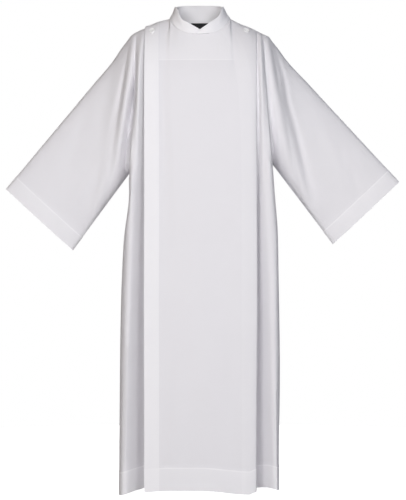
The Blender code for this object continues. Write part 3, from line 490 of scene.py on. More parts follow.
# On the over front: below the neck, over the chest and down the skirt.
PANEL_CREASES = [
    # x, height, half_width, rise
    *LEFT_ARMHOLE_CREASES,
    [
        (0.1760, -0.120, 0.004, 0.000),
        (0.1775, -0.200, 0.005, -0.006),
        (0.1785, -0.320, 0.006, -0.009),
        (0.1785, -0.480, 0.006, -0.005),
        (0.1785, -0.580, 0.006, 0.000),
        (0.1805, -0.700, 0.006, 0.003),
        (0.1815, -1.000, 0.006, 0.004),
        (0.1815, -1.430, 0.006, 0.003),
    ],
    [
        (0.2300, -0.600, 0.008, 0.000),
        (0.2340, -0.700, 0.010, 0.006),
        (0.2360, -0.850, 0.011, 0.006),
        (0.2370, -0.980, 0.010, 0.000),
    ],
    [
        (0.2430, -0.980, 0.008, 0.000),
        (0.2440, -1.150, 0.009, -0.006),
        (0.2440, -1.440, 0.009, -0.005),
    ],
    [
        (0.0560, -0.050, 0.004, 0.000),
        (0.0565, -0.075, 0.004, -0.0012),
        (0.0555, -0.105, 0.004, -0.0012),
        (0.0550, -0.131, 0.004, 0.000),
    ],
    [
        (-0.0815, -0.012, 0.007, -0.001),
        (-0.0800, -0.036, 0.008, -0.003),
        (-0.0790, -0.062, 0.009, -0.002),
        (-0.0780, -0.084, 0.010, 0.000),
    ],
    *([(side * x, *sizes) for x, *sizes in NECK_RIDGE] for side in (RIGHT, LEFT)),
    [
        (0.1060, -0.012, 0.003, 0.000),
        (0.1160, -0.028, 0.004, -0.0022),
        (0.1270, -0.043, 0.004, -0.0015),
        (0.1330, -0.052, 0.004, 0.000),
    ],
    [
        (0.004, -0.240, 0.030, 0.000),
        (0.000, -0.450, 0.035, 0.0014),
        (-0.006, -0.800, 0.035, 0.0020),
        (0.004, -1.150, 0.040, 0.0012),
        (0.010, -1.300, 0.040, 0.000),
    ],
    [
        (-0.113, -0.120, 0.012, 0.000),
        (-0.111, -0.260, 0.016, -0.0046),
        (-0.106, -0.500, 0.020, -0.0040),
        (-0.102, -0.800, 0.022, -0.0016),
        (-0.100, -0.950, 0.020, 0.000),
    ],
    [
        (0.083, -0.700, 0.020, 0.000),
        (0.092, -0.950, 0.026, -0.0016),
        (0.102, -1.250, 0.030, -0.0022),
        (0.108, -1.430, 0.030, -0.0012),
    ],
    [
        (-0.058, -0.850, 0.020, 0.000),
        (-0.066, -1.050, 0.024, 0.0014),
        (-0.074, -1.300, 0.028, 0.0020),
        (-0.072, -1.430, 0.028, 0.0010),
    ],
]
SIDE_FRONT_CREASES = [
    *RIGHT_ARMHOLE_CREASES,
    [
        (-0.2290, -0.560, 0.010, 0.000),
        (-0.2300, -0.660, 0.011, -0.005),
        (-0.2350, -0.870, 0.012, -0.008),
        (-0.2380, -1.100, 0.012, -0.010),
        (-0.2400, -1.320, 0.012, -0.009),
        (-0.2400, -1.450, 0.012, -0.006),
    ],
]
COLLAR_CREASES = [
    [
        (-0.0800, 0.044, 0.005, 0.000),
        (-0.0815, 0.028, 0.006, -0.005),
        (-0.0840, 0.012, 0.004, 0.000),
    ],
    [
        (0.0770, 0.042, 0.005, 0.000),
        (0.0790, 0.026, 0.006, -0.004),
        (0.0820, 0.011, 0.004, 0.000),
    ],
]
BACK_CREASES = [
    [
        (0.030, -0.012, 0.007, 0.000),
        (0.047, -0.070, 0.010, -0.0024),
        (0.066, -0.150, 0.014, -0.0014),
        (0.078, -0.220, 0.014, 0.000),
    ],
    [
        (-0.046, -0.010, 0.007, 0.000),
        (-0.058, -0.060, 0.009, -0.0020),
        (-0.070, -0.120, 0.012, -0.0012),
        (-0.075, -0.170, 0.012, 0.000),
    ],
    [
        (-0.095, -0.090, 0.010, 0.000),
        (-0.132, -0.190, 0.014, -0.0030),
        (-0.160, -0.300, 0.018, -0.0040),
        (-0.172, -0.420, 0.020, 0.000),
    ],
    [
        (0.112, -0.110, 0.010, 0.000),
        (0.143, -0.200, 0.013, -0.0026),
        (0.168, -0.290, 0.016, -0.0034),
        (0.182, -0.380, 0.016, 0.000),
    ],
    [
        (-0.012, -0.300, 0.016, 0.000),
        (-0.018, -0.520, 0.022, 0.0026),
        (-0.010, -0.780, 0.024, 0.0030),
        (0.002, -1.000, 0.022, 0.000),
    ],
    [
        (0.120, -0.560, 0.014, 0.000),
        (0.128, -0.760, 0.018, -0.0030),
        (0.124, -1.020, 0.020, -0.0034),
        (0.130, -1.400, 0.022, -0.0014),
    ],
    [
        (-0.140, -0.640, 0.014, 0.000),
        (-0.150, -0.900, 0.020, 0.0028),
        (-0.146, -1.200, 0.022, 0.0036),
        (-0.150, -1.440, 0.022, 0.0020),
    ],
]

# The camera stands level, square in front of the robe.
CAMERA_X, CAMERA_Z, CAMERA_BACK, CAMERA_SIGHT = 0.0093, -0.707, 5.0, 100.0
FIELD_HEIGHT, SENSOR = 1.55, 36.0
FLOOR_LEVEL, FLOOR_RADIUS, FLOOR_SIDES = -1.53, 2.6, 96
FLOOR_COLOUR, FLOOR_GLOW = (0.55, 0.55, 0.55, 1.0), 0.82
WHITE = (1.0, 1.0, 1.0, 1.0)
TINT_INPUTS, TINT = (0, 6, 7), 2  # a Mix node's sockets for colours, some of which share a name
ROOM_LIGHT = 0.18
# The room's light that comes from further to the side than this is weaker, down to this share
# of its strength from straight beside the robe.
ROOM_SIDES_FROM, ROOM_SIDES = 0.25, 0.5
# The room's light is a little warmer on one side: its tints, and how far to the side they lie.
ROOM_LEFT, ROOM_RIGHT, ROOM_TURN = (1.25, 1.0, 0.78, 1.0), (0.85, 0.97, 1.25, 1.0), 0.8
LAMPS = [
    # name, place, target, size, power
    ("left_lamp", (-1.3, -3.95, 0.25), (0.0, 0.0, -0.6), 1.5, 71.0),
    ("right_lamp", (1.2, -3.95, 0.25), (0.0, 0.0, -0.6), 1.5, 68.0),
    ("top_lamp", (0.1, -1.5, 2.5), (0.0, 0.0, -0.1), 1.4, 4.5),
    ("rear_lamp", (0.4, 3.9, 1.0), (0.0, 0.0, -0.7), 2.0, 120.0),
]


# ---- curves and tables ----------------------------------------------------------------------
def mix(a, b, t):
    return a + (b - a) * t


def between(start, end, share):
    """The place at that share of the way from start to end."""
    return tuple(mix(a, b, share) for a, b in zip(start, end))


def smooth(t):
    t = min(1.0, max(0.0, t))
    return t * t * (3 - 2 * t)


def power(base, exponent):
    """base to a power, keeping its sign."""
    return math.copysign(abs(base) ** exponent, base)


def slope(xs, ys, i):
    """A slope for point i that never lets the curve overshoot its points."""
    steps = [(ys[k + 1] - ys[k]) / (xs[k + 1] - xs[k]) for k in (i - 1, i) if 0 <= k < len(xs) - 1]
    if len(steps) == 1:
        return steps[0]
    before, after = steps
    return 0.0 if before * after <= 0 else 2 * before * after / (before + after)


def read(rows, column, key):
    """The size in that column at a key of the first column, on a smooth curve through rows."""
    xs, ys = [row[0] for row in rows], [row[column] for row in rows]
    if key <= xs[0]:
        return ys[0]
    if key >= xs[-1]:
        return ys[-1]
    i = bisect_right(xs, key) - 1
    run = xs[i + 1] - xs[i]
    t = (key - xs[i]) / run
    bend = slope(xs, ys, i) * run * t * (1 - t) ** 2 - slope(xs, ys, i + 1) * run * t * t * (1 - t)
    return mix(ys[i], ys[i + 1], smooth(t)) + bend


def body_reach(side, height):
    """How far the side seam lies from the middle."""
    return read(BODY_ROWS, 1 if side == RIGHT else 2, height)


def shoulder_height(side, reach):
    return read(SHOULDER_ROWS, 1 if side == RIGHT else 2, reach)


def side_of(x):
    return RIGHT if x < 0 else LEFT


def side_name(side):
    return "right" if side == RIGHT else "left"


def through(points, steps):
    """Points on a smooth curve through the given ones, with that many steps between each."""
    ends = [points[0] * 2 - points[1], *points, points[-1] * 2 - points[-2]]
    found = [points[0]]
    for i, count in enumerate(steps):
        a, b, c, d = ends[i : i + 4]
        for k in range(1, count + 1):
            t = k / count
            straight = 2 * b + (c - a) * t
            bent = (2 * a - 5 * b + 4 * c - d) * t**2 + (3 * b - a - 3 * c + d) * t**3
            found.append((straight + bent) / 2)
    return found


# ---- the robe's form ------------------------------------------------------------------------
def armhole(side, face):
    """One half of the armhole seam, from the shoulder down. face is -1 in front, 1 behind."""
    under, _, _, bow = SLEEVE_ENDS[side]
    _, _, _, front, front_fold, back, back_fold = SLEEVE_ROWS[0]
    thickness, fold = (front, front_fold) if face < 0 else (back, back_fold)
    top = (SHOULDER_REACH, shoulder_height(side, SHOULDER_REACH))
    return [lens_point(side, face, k, top, under, thickness, fold, bow) for k in HALF]


def lens_point(side, face, k, top, under, thickness, fold, bow):
    """Point k of a sleeve's cut, counted from its top edge to its underside."""
    angle = math.pi * k / HALF_RING
    share = (1 - math.cos(angle)) / 2
    ends = 0.0 if k in (0, HALF_RING) else 1.0
    reach = mix(top[0], under[0], share) - bow * math.sin(math.pi * share)
    out = thickness * math.sin(angle) ** SLEEVE_POWER + fold * math.sin(angle) ** 2
    return Vector((side * reach, face * out * ends, mix(top[1], under[1], share)))


def neckline(turn):
    """The seam below the collar. turn is in degrees: 0 in front, 90 on the wearer's right,
    180 behind and 270 on the left."""
    ahead, across = math.cos(math.radians(turn)), math.sin(math.radians(turn))
    depth, drop = (NECK_FRONT, NECK_FRONT_DROP) if ahead > 0 else (NECK_BACK, NECK_BACK_DROP)
    fall = drop * abs(ahead) ** NECK_FALL_POWER
    x = -NECK_REACH * power(across, NECK_POWER)
    return Vector((x, -depth * power(ahead, NECK_POWER), NECK_HEIGHT - fall))


def neck_stations(step):
    """The x of points along half the neckline, from right to left, every step degrees."""
    turns = range(-90, 91, step)
    return [NECK_REACH * power(math.sin(math.radians(turn)), NECK_POWER) for turn in turns]


def neck_at(x, face):
    """The point of the neckline at that x, in front (-1) or behind (1)."""
    turn = math.degrees(math.asin(min(1.0, abs(x) / NECK_REACH) ** (1 / NECK_POWER)))
    point = neckline(turn if face < 0 else 180 - turn)
    return Vector((x, point.y, point.z))


def below_top(top, height):
    """How far down a height is, from 0 at the top edge to 1 at the chest."""
    return min(1.0, max(0.0, (top - height) / (top - CHEST_LEVEL)))


def rounded(t):
    """How far the shoulder has rounded over."""
    return (1 - (1 - t) ** 2) ** SHOULDER_POWER


def over_top(top, chest, height):
    """A point between chest, where the cloth hangs straight, and top, the piece's top edge.
    Out on the shoulder the cloth rounds over; at the neck it leaves the seam aslant."""
    if height <= CHEST_LEVEL:
        return Vector((chest.x, chest.y, height))
    t = below_top(top.z, height)
    aslant = math.sin(t * math.pi / 2)
    share = mix(aslant, rounded(t), smooth((abs(top.x) - ROUND_FROM) / (ROUND_TO - ROUND_FROM)))
    return Vector((mix(top.x, chest.x, aslant), mix(top.y, chest.y, share), height))


def skirt_height(hem, under, i):
    """The height of row i, between the hem and the underarm."""
    if i == 0:
        return hem
    if i == 1:
        return hem + HEM_DEPTH
    if i == 2:
        return hem + HEM_DEPTH + STEP
    return mix(hem, under, SKIRT_SHARES[i - 3])


SKIRT_ROWS = 3 + len(SKIRT_SHARES)
BODY_ROW_COUNT = SKIRT_ROWS + HALF_RING


def seam_point(side, face, i):
    """The outer seam's point in row i: the side seam, and then the armhole."""
    under = SLEEVE_ENDS[side][0]
    if i < SKIRT_ROWS - 1:
        hem = read(HEM_ROWS, 1, side * body_reach(side, HEM_LEVEL))
        height = skirt_height(hem, under[1], i)
        return Vector((side * body_reach(side, height), 0.0, height))
    return armhole(side, face)[HALF_RING - (i - SKIRT_ROWS + 1)]


def hanging_seam(side, face, i):
    """The seam's point in row i, as far out as it is before it rounds over the shoulder."""
    seam = seam_point(side, face, i)
    turned = rounded(below_top(shoulder_height(side, SHOULDER_REACH), seam.z))
    return Vector((seam.x, seam.y / max(turned, LEAST_TURN), seam.z))


def armhole_share(i):
    """How far up the armhole row i is, from 0 at the underarm to 1 at the shoulder."""
    return (1 - math.cos(math.pi * (i - SKIRT_ROWS + 1) / HALF_RING)) / 2


def row_height(side, i, hem, top):
    """The height in row i of a column that starts at hem and ends at top."""
    under = SLEEVE_ENDS[side][0][1]
    if i < SKIRT_ROWS - 1:
        return skirt_height(hem, under, i)
    return mix(under, top, armhole_share(i))


# ---- the fronts -----------------------------------------------------------------------------
def side_cut(side, level, seam):
    """The cut through the side of a front at a level, from the outer seam to the valley."""
    start = Vector((abs(seam.x), seam.y))
    crest = Vector((read(FOLD_ROWS, 1, level), -read(FOLD_ROWS, 2, level)))
    valley = Vector((read(FOLD_ROWS, 3, level), -read(FOLD_ROWS, 4, level)))
    below = smooth((SLEEVE_ENDS[side][0][1] - level) / SIDE_EASE)
    corner = Vector((start.x - mix(*SIDE_TUCK, below), crest.y * mix(*SIDE_SHARE, below)))
    return start, corner, crest, valley


def panel_y(x, level):
    across = min(1.0, abs(x) / PANEL_REACH)
    roll = EDGE_ROLL * smooth((x - EDGE_ROLL_FROM) / (PANEL_REACH - EDGE_ROLL_FROM))
    return roll - mix(read(PANEL_ROWS, 1, level), read(PANEL_ROWS, 2, level), across**2)


def sway(x, level):
    return read(PANEL_ROWS, 3 if x < 0 else 4, level) * min(1.0, abs(x) / PANEL_REACH)


NECK_SPREAD = 0.106  # the cloth from the neck's sides spreads out to this reach at the chest
FACING_EDGE = PANEL_RIGHT - PANEL_FACING
NECK_XS = neck_stations(NECK_STEP)
NECK_CHEST_XS = [NECK_SPREAD * (2 * k / (len(NECK_XS) - 1) - 1) for k in range(len(NECK_XS))]
# The panel's columns: the x of each at the top edge, and from the chest down.
FACING_XS = [-PANEL_RIGHT, -0.147, -FACING_EDGE - STEP, -FACING_EDGE]
PANEL_TOP_XS = [*FACING_XS, *NECK_XS, 0.110, 0.128, 0.148, PANEL_REACH - FOLD]
PANEL_XS = [*FACING_XS, *NECK_CHEST_XS, 0.121, 0.136, 0.152, PANEL_REACH - FOLD]
FOLD_STEPS = [2, 4, 4, 2]  # steps from the side seam round the side fold to the panel
UNDERLAP_TOP_XS = [-0.122, *NECK_XS[::2], UNDERLAP_REACH - UNDERLAP_TOP_INSET]
UNDERLAP_XS = [-0.126, *NECK_CHEST_XS[::2], UNDERLAP_REACH]


def over_cut(level, seam):
    """The left part of the over front's cut, from the side seam to the pressed fold."""
    start, corner, crest, valley = side_cut(LEFT, level, seam)
    edge = panel_y(PANEL_REACH, level)
    back = Vector((PANEL_REACH + FOLD_BACK, edge + 3 * FOLD))
    points = through([start, corner, crest, valley, back], FOLD_STEPS)
    middle = Vector((PANEL_REACH - FOLD, edge + FOLD))
    for degrees in FOLD_TURNS:
        turned = Vector((math.cos(math.radians(degrees)), -math.sin(math.radians(degrees))))
        points.append(middle + turned * FOLD)
    shift = sway(PANEL_REACH, level)
    moves = [shift * smooth((j - SWAY_FROM) / SWAY_STEPS) for j in range(len(points))]
    return [Vector((point.x + move, point.y)) for point, move in zip(points, moves)]


def make_over_front():
    """The over front: its flat panel buttons on the right shoulder, folds back at its left
    edge, and goes on to the left side seam."""
    grid = []
    for i in range(BODY_ROW_COUNT):
        seam = seam_point(LEFT, -1, i)
        row = []
        for top_x, x in zip(PANEL_TOP_XS, PANEL_XS):
            top = panel_top(top_x)
            height = row_height(LEFT, i, read(HEM_ROWS, 1, x), top.z)
            level = min(height, CHEST_LEVEL)
            chest = Vector((x + sway(x, level), panel_y(x, level), level))
            row.append(over_top(top, chest, height))
        level = min(seam.z, CHEST_LEVEL)
        cut = over_cut(level, hanging_seam(LEFT, -1, i))[::-1]
        for j, point in enumerate(cut):
            share = (j + 1) / len(cut)
            reach = mix(PANEL_REACH - FOLD, SHOULDER_REACH, share)
            top = Vector((reach, 0.0, shoulder_height(LEFT, reach)))
            height = row_height(LEFT, i, read(HEM_ROWS, 1, point.x), top.z)
            row.append(over_top(top, Vector((point.x, point.y, level)), height))
        row[-1] = seam
        grid.append(row)
    return grid


def panel_top(x):
    """The over front's top edge: on the right shoulder it lies over the seam."""
    if x < -NECK_REACH:
        return Vector((x, 0.0, shoulder_height(RIGHT, -x) + PANEL_LIFT))
    if x > NECK_REACH:
        return Vector((x, 0.0, shoulder_height(LEFT, x)))
    return neck_at(x, -1)


def panel_place(x, height):
    """A point of the panel's face above the chest."""
    chest = Vector((x, panel_y(x, CHEST_LEVEL), CHEST_LEVEL))
    return over_top(panel_top(x), chest, height)


def make_under_front():
    """The under front: from the right side seam it folds in behind the panel."""
    grid = []
    for i in range(BODY_ROW_COUNT):
        seam = seam_point(RIGHT, -1, i)
        level = min(seam.z, CHEST_LEVEL)
        start, corner, crest, valley = side_cut(RIGHT, level, hanging_seam(RIGHT, -1, i))
        bend = Vector((UNDERLAP_BEND, panel_y(UNDERLAP_BEND, level) + UNDERLAP_DEPTH))
        cut = through([start, corner, crest, valley, bend], FOLD_STEPS)
        row = []
        for j, point in enumerate(cut):
            reach = mix(SHOULDER_REACH, UNDERLAP_BEND, j / (len(cut) - 1))
            row.append(under_point(i, Vector((-point.x, point.y)), -reach, level))
        for top_x, x in zip(UNDERLAP_TOP_XS, UNDERLAP_XS):
            row.append(under_point(i, Vector((x, panel_y(x, level) + UNDERLAP_DEPTH)), top_x, level))
        row[0] = seam
        grid.append(row)
    return grid


def under_point(i, point, top_x, level):
    top = under_top(top_x)
    rise = UNDERLAP_RISE * smooth((point.x - UNDERLAP_RISE_FROM) / UNDERLAP_RISE_WIDTH)
    height = row_height(RIGHT, i, read(HEM_ROWS, 1, point.x) + rise, top.z)
    return over_top(top, Vector((point.x, point.y, level)), height)


def under_top(x):
    if x < -NECK_REACH:
        return Vector((x, 0.0, shoulder_height(RIGHT, -x)))
    if x > NECK_REACH:
        return Vector((x, -UNDERLAP_DROP, shoulder_height(LEFT, x) - UNDERLAP_DROP))
    inwards = smooth((x + NECK_REACH) / UNDERLAP_NECK_TURN)
    return neck_at(x, -1) + Vector((0.0, UNDERLAP_NECK_SHIFT * inwards, -UNDERLAP_NECK_DROP))


# ---- the back -------------------------------------------------------------------------------
BACK_SHOULDERS = [mix(SHOULDER_REACH, NECK_REACH, k / BACK_SHOULDER) for k in range(BACK_SHOULDER)]
BACK_TOPS = [*(-x for x in BACK_SHOULDERS), *NECK_XS, *reversed(BACK_SHOULDERS)]
BACK_STEPS = len(BACK_TOPS) - 1


def back_top(j):
    """The back's top edge in column j: the shoulder seams, with the neckline between them."""
    x = BACK_TOPS[j]
    if abs(x) > NECK_REACH - SEAM:
        return Vector((x, 0.0, shoulder_height(side_of(x), abs(x))))
    return neck_at(x, 1)


def make_back():
    grid = []
    for i in range(BODY_ROW_COUNT):
        ends = {side: seam_point(side, 1, i) for side in (RIGHT, LEFT)}
        hanging = {side: hanging_seam(side, 1, i) for side in (RIGHT, LEFT)}
        row = []
        for j in range(BACK_STEPS + 1):
            top = back_top(j)
            even = 2 * j / BACK_STEPS - 1
            hem = read(HEM_ROWS, 2, even * BACK_HEM_REACH)
            heights = [row_height(side, i, hem, top.z) for side in (RIGHT, LEFT)]
            height = mix(*heights, (even + 1) / 2)
            level = min(height, CHEST_LEVEL)
            spread = BACK_EVEN * smooth((height - BACK_EVEN_FROM) / BACK_EVEN_OVER)
            across = mix(-math.cos(math.pi * j / BACK_STEPS), even, spread)
            start = hanging[side_of(across)]
            rise = sum(back_fold(across, height, fold) for fold in BACK_FOLDS)
            out = max(0.0, 1 - across * across) ** mix(BACK_POWER_BELOW, BACK_POWER_ABOVE, spread)
            y = (read(BODY_ROWS, 3, level) + rise) * out + start.y * (1 - out) ** 3
            row.append(over_top(top, Vector((abs(start.x) * across, y, level)), height))
        row[0], row[-1] = ends[RIGHT], ends[LEFT]
        grid.append(row)
    return grid


def back_fold(across, height, fold):
    middle, half_width, rise, top = fold
    nearness = max(0.0, 1 - abs(across - middle) / half_width)
    return rise * smooth(nearness) * smooth((top - height) / (top - BODY_ROWS[0][0]))


# ---- the sleeves and the collar -------------------------------------------------------------
def make_sleeve(side):
    under, cuff_top, cuff_under, bow = SLEEVE_ENDS[side]
    start = (STRAIGHT_FROM, shoulder_height(side, STRAIGHT_FROM))
    top_length = math.dist(start, cuff_top)
    under_length = math.dist(under, cuff_under)
    cuts = []
    for top_reach, top_share, under_share, *sizes in SLEEVE_ROWS:
        top = (top_reach, shoulder_height(side, top_reach))
        if top_share:
            top = between(start, cuff_top, top_share)
        cuts.append((top, between(under, cuff_under, under_share), sizes))
    cuff_depths = (CUFF_HEM_DEPTH + STEP, CUFF_HEM_DEPTH, 0.0)
    cuff_sizes = (CUFF_HEM_THICKNESS, CUFF_HEM_THICKNESS, CUFF_THICKNESS)
    for depth, thickness in zip(cuff_depths, cuff_sizes):
        top = between(cuff_top, start, depth / top_length)
        below = between(cuff_under, under, depth / under_length)
        cuts.append((top, below, (thickness, 0.0, thickness, 0.0)))
    grid = []
    for top, below, (front, front_fold, back, fold_behind) in cuts:
        row = [lens_point(side, -1, k, top, below, front, front_fold, bow) for k in HALF]
        row += [lens_point(side, 1, k, top, below, back, fold_behind, bow) for k in HALF[-2:0:-1]]
        grid.append(row)
        bow = 0.0  # only the armhole seam bows in
    return grid


def collar_foot(turn):
    """The collar's foot, which follows the straight steps of the seam below it."""
    before = math.floor(turn / NECK_STEP) * NECK_STEP
    on_seam = neckline(before).lerp(neckline(before + NECK_STEP), (turn - before) / NECK_STEP)
    return on_seam + Vector((0.0, 0.0, SEAM))


def make_collar():
    """The collar: one strip round the neck, whose ends cross in front, left over right."""
    grid = [[] for _ in range(COLLAR_RISE_STEPS + 1)]
    for turn in (COLLAR_ROWS[0][0], *range(0, 361, NECK_STEP), COLLAR_ROWS[-1][0]):
        foot = collar_foot(turn)
        ahead, across = math.cos(math.radians(turn)), math.sin(math.radians(turn))
        depth = COLLAR_TOP_FRONT if ahead > 0 else COLLAR_TOP_BACK
        x = COLLAR_TOP_SHIFT - COLLAR_TOP_REACH * power(across, COLLAR_SQUARE)
        full = Vector((x, -depth * power(ahead, COLLAR_SQUARE), COLLAR_HEIGHT))
        top = foot.lerp(full, (read(COLLAR_ROWS, 1, turn) - foot.z) / (COLLAR_HEIGHT - foot.z))
        away = Vector((foot.x + top.x, foot.y + top.y, 0.0)).normalized()
        lap = read(COLLAR_ROWS, 2, turn)
        for r, row in enumerate(grid):
            up = r / COLLAR_RISE_STEPS
            row.append(foot.lerp(top, up) + away * (lap + COLLAR_BULGE * math.sin(math.pi * up)))
    return grid


# ---- fine cloth -----------------------------------------------------------------------------
def finer(points, spacing, closed=False):
    """Adds points along the first axis of a grid, on smooth curves through the given ones."""
    if closed:
        points = np.concatenate([points[-1:], points, points[:2]])
    gaps = np.linalg.norm(np.diff(points, axis=0), axis=-1).mean(axis=1)
    wide = gaps[:, None, None]
    steps = np.diff(points, axis=0) / wide
    slopes = np.empty_like(points)
    slopes[1:-1] = (steps[:-1] * wide[1:] + steps[1:] * wide[:-1]) / (wide[1:] + wide[:-1])
    slopes[0], slopes[-1] = 2 * steps[0] - slopes[1], 2 * steps[-1] - slopes[-2]
    found = []
    for i in range(1, len(gaps) - 1) if closed else range(len(gaps)):
        count = max(1, round(gaps[i] / spacing))
        t = (np.arange(count) / count)[:, None, None]
        rise = t * (1 - t) ** 2 * slopes[i] - t * t * (1 - t) * slopes[i + 1]
        share = t * t * (3 - 2 * t)
        found.append(points[i] * (1 - share) + points[i + 1] * share + rise * wide[i])
    if not closed:
        found.append(points[-1:])
    return np.concatenate(found)


def lengths(points):
    """How far each point lies along the first axis of a grid."""
    gaps = np.linalg.norm(np.diff(points, axis=0), axis=-1)
    return np.concatenate([np.zeros((1, points.shape[1])), np.cumsum(gaps, axis=0)])


def unit(ways):
    """The same ways, each one long."""
    return ways / np.maximum(np.linalg.norm(ways, axis=-1, keepdims=True), NEXT_TO_NOTHING)


def ease(t):
    """0 below 0 and 1 above 1, with a smooth rise between them."""
    t = np.clip(t, 0.0, 1.0)
    return t * t * (3 - 2 * t)


class Cloth:
    """One cut piece of cloth: a fine grid of points on its outer face."""

    def __init__(self, rows, ring=False, facing=1, up=UP_SPACING, across=ACROSS_SPACING):
        coarse = np.array([[tuple(point) for point in row] for row in rows])
        tall = finer(coarse, up)
        self.points = finer(tall.swapaxes(0, 1), across, closed=ring).swapaxes(0, 1)
        self.ring, self.facing = ring, facing
        self.measure()

    def measure(self):
        """The grid's outward directions, and each point's way up and across the cloth."""
        wrapped = self.wrap(self.points)
        self.up = lengths(wrapped)
        self.along = lengths(wrapped.swapaxes(0, 1)).swapaxes(0, 1)
        rise = np.gradient(self.points, axis=0)
        if self.ring:
            run = np.roll(self.points, -1, axis=1) - np.roll(self.points, 1, axis=1)
        else:
            run = np.gradient(self.points, axis=1)
        out = np.cross(run, rise)
        self.out = unit(out) * self.facing

    def wrap(self, values):
        return np.concatenate([values, values[:, :1]], axis=1) if self.ring else values

    def raise_by(self, heights):
        """Moves each point outwards by its height."""
        self.points = self.points + self.out * heights[..., None]
        self.measure()

    def crease(self, face, table):
        """Presses troughs into one face (-1 in front, 1 behind), or lifts ridges out of it."""
        flat = self.points[..., (0, 2)].reshape(-1, 2)
        paths = [finer(np.array(rows)[:, None, :], CREASE_SPACING)[:, 0] for rows in table]
        lift = sum(trough(flat, path) for path in paths)
        shown = ease(self.points[..., 1] * face / CREASE_EDGE)
        self.points[..., 1] += face * lift.reshape(shown.shape) * shown
        self.measure()


def trough(flat, path):
    """The rise of one crease at each of the flat points. path: x, z, half_width, rise."""
    best = np.full(len(flat), np.inf)
    lift = np.zeros(len(flat))
    for a, b in zip(path, path[1:]):
        run = b[:2] - a[:2]
        share = np.clip((flat - a[:2]) @ run / (run @ run), 0.0, 1.0)
        away = np.linalg.norm(flat - a[:2] - share[:, None] * run, axis=1)
        width = a[2] + (b[2] - a[2]) * share
        rise = a[3] + (b[3] - a[3]) * share
        nearer = away / width < best
        best = np.where(nearer, away / width, best)
        lift = np.where(nearer, rise, lift)
    return lift * np.exp(-best * best)


def make_shell(name, cloth, material, thickness=SHELL):
    """A closed thin shell behind the cloth's outer face. Its UV map is in metres of cloth."""
    outer = cloth.points
    rows, across = outer.shape[:2]
    count = rows * across
    points = np.concatenate([outer.reshape(-1, 3), (outer - cloth.out * thickness).reshape(-1, 3)])
    index = cloth.wrap(np.arange(count).reshape(rows, across))
    spread = np.stack([cloth.along, cloth.up], axis=-1)
    faces, uvs = [], []
    corners = ((0, 0), (0, 1), (1, 1), (1, 0))
    last_row, last_column = index.shape[0] - 1, index.shape[1] - 1
    for i in range(last_row):
        for j in range(last_column):
            here = [(i + a, j + b) for a, b in corners]
            faces.append([int(index[p]) for p in here])
            uvs.append([spread[p] for p in here])
            faces.append([int(index[p]) + count for p in reversed(here)])
            uvs.append([spread[p] for p in reversed(here)])
    edges = [[(i, j) for j in range(last_column + 1)] for i in (0, last_row)]
    if not cloth.ring:
        edges += [[(i, j) for i in range(last_row + 1)] for j in (0, last_column)]
    for edge in edges:
        for a, b in zip(edge, edge[1:]):
            faces.append([int(index[a]), int(index[b]), int(index[b]) + count, int(index[a]) + count])
            uvs.append([spread[a], spread[b], spread[b], spread[a]])
    piece = add_mesh(name, points.tolist(), faces, material, uvs)
    piece.data.set_sharp_from_angle(angle=SHARP_ANGLE)
    return piece


def add_mesh(name, points, faces, material, uvs=None):
    """A smooth piece in one material, with all its faces turned outwards."""
    mesh = bpy.data.meshes.new(name)
    mesh.from_pydata(points, [], faces)
    if uvs:
        mesh.uv_layers.new(name="cloth")
        mesh.uv_layers["cloth"].data.foreach_set("uv", np.array(uvs).reshape(-1))
    mesh.materials.append(material)
    shape = bmesh.new()
    shape.from_mesh(mesh)
    bmesh.ops.recalc_face_normals(shape, faces=shape.faces)
    shape.to_mesh(mesh)
    shape.free()
    mesh.shade_smooth()
    return add_object(name, mesh)


def add_object(name, data):
    made = bpy.data.objects.new(name, data)
    bpy.context.scene.collection.objects.link(made)
    return made


# ---- sewing ---------------------------------------------------------------------------------
def thicken(cloth, depth, facing=0.0):
    """Lifts the doubled cloth of a hem, and of a facing along the first edge."""
    lift = 1 - ease((cloth.up - depth) / STEP)
    if facing:
        lift = np.maximum(lift, 1 - ease((cloth.along - facing) / STEP))
    cloth.raise_by(HEM_RISE * lift[:, : cloth.points.shape[1]])


def line_across(cloth, field, value):
    """The line where a field that grows up the cloth passes a value: places and outward ways."""
    return find_line(cloth.wrap(cloth.points), cloth.wrap(cloth.out), field, value)


def line_up(cloth, field, value):
    """The same for a field that grows across the cloth."""
    turned = [grid.swapaxes(0, 1) for grid in (cloth.points, cloth.out, field)]
    return find_line(*turned, value)


def hem_line(cloth, depth):
    """The line of stitches that holds a hem."""
    return line_across(cloth, cloth.up, depth - STITCH_INSET)


def lines_round(cloth, inset):
    """Lines along all four edges of a piece, this far inside them."""
    from_top, from_end = cloth.up - cloth.up[-1:], cloth.along - cloth.along[:, -1:]
    return [
        line_across(cloth, from_top, -inset),
        line_across(cloth, cloth.up, inset),
        line_up(cloth, cloth.along, inset),
        line_up(cloth, from_end, -inset),
    ]


def straight(start, end, out):
    """A straight line from start to end, with its outward way."""
    return np.array([tuple(start), tuple(end)]), np.array([tuple(out)] * 2)


def find_line(points, outs, field, value):
    """Where the field passes a value in each column of the grid, with the outward ways there."""
    columns = np.arange(points.shape[1])
    rows = np.clip(np.argmax(field >= value, axis=0), 1, None) - 1
    start, end = field[rows, columns], field[rows + 1, columns]
    share = np.clip((value - start) / (end - start), 0.0, 1.0)[:, None]
    return [mix(grid[rows, columns], grid[rows + 1, columns], share) for grid in (points, outs)]


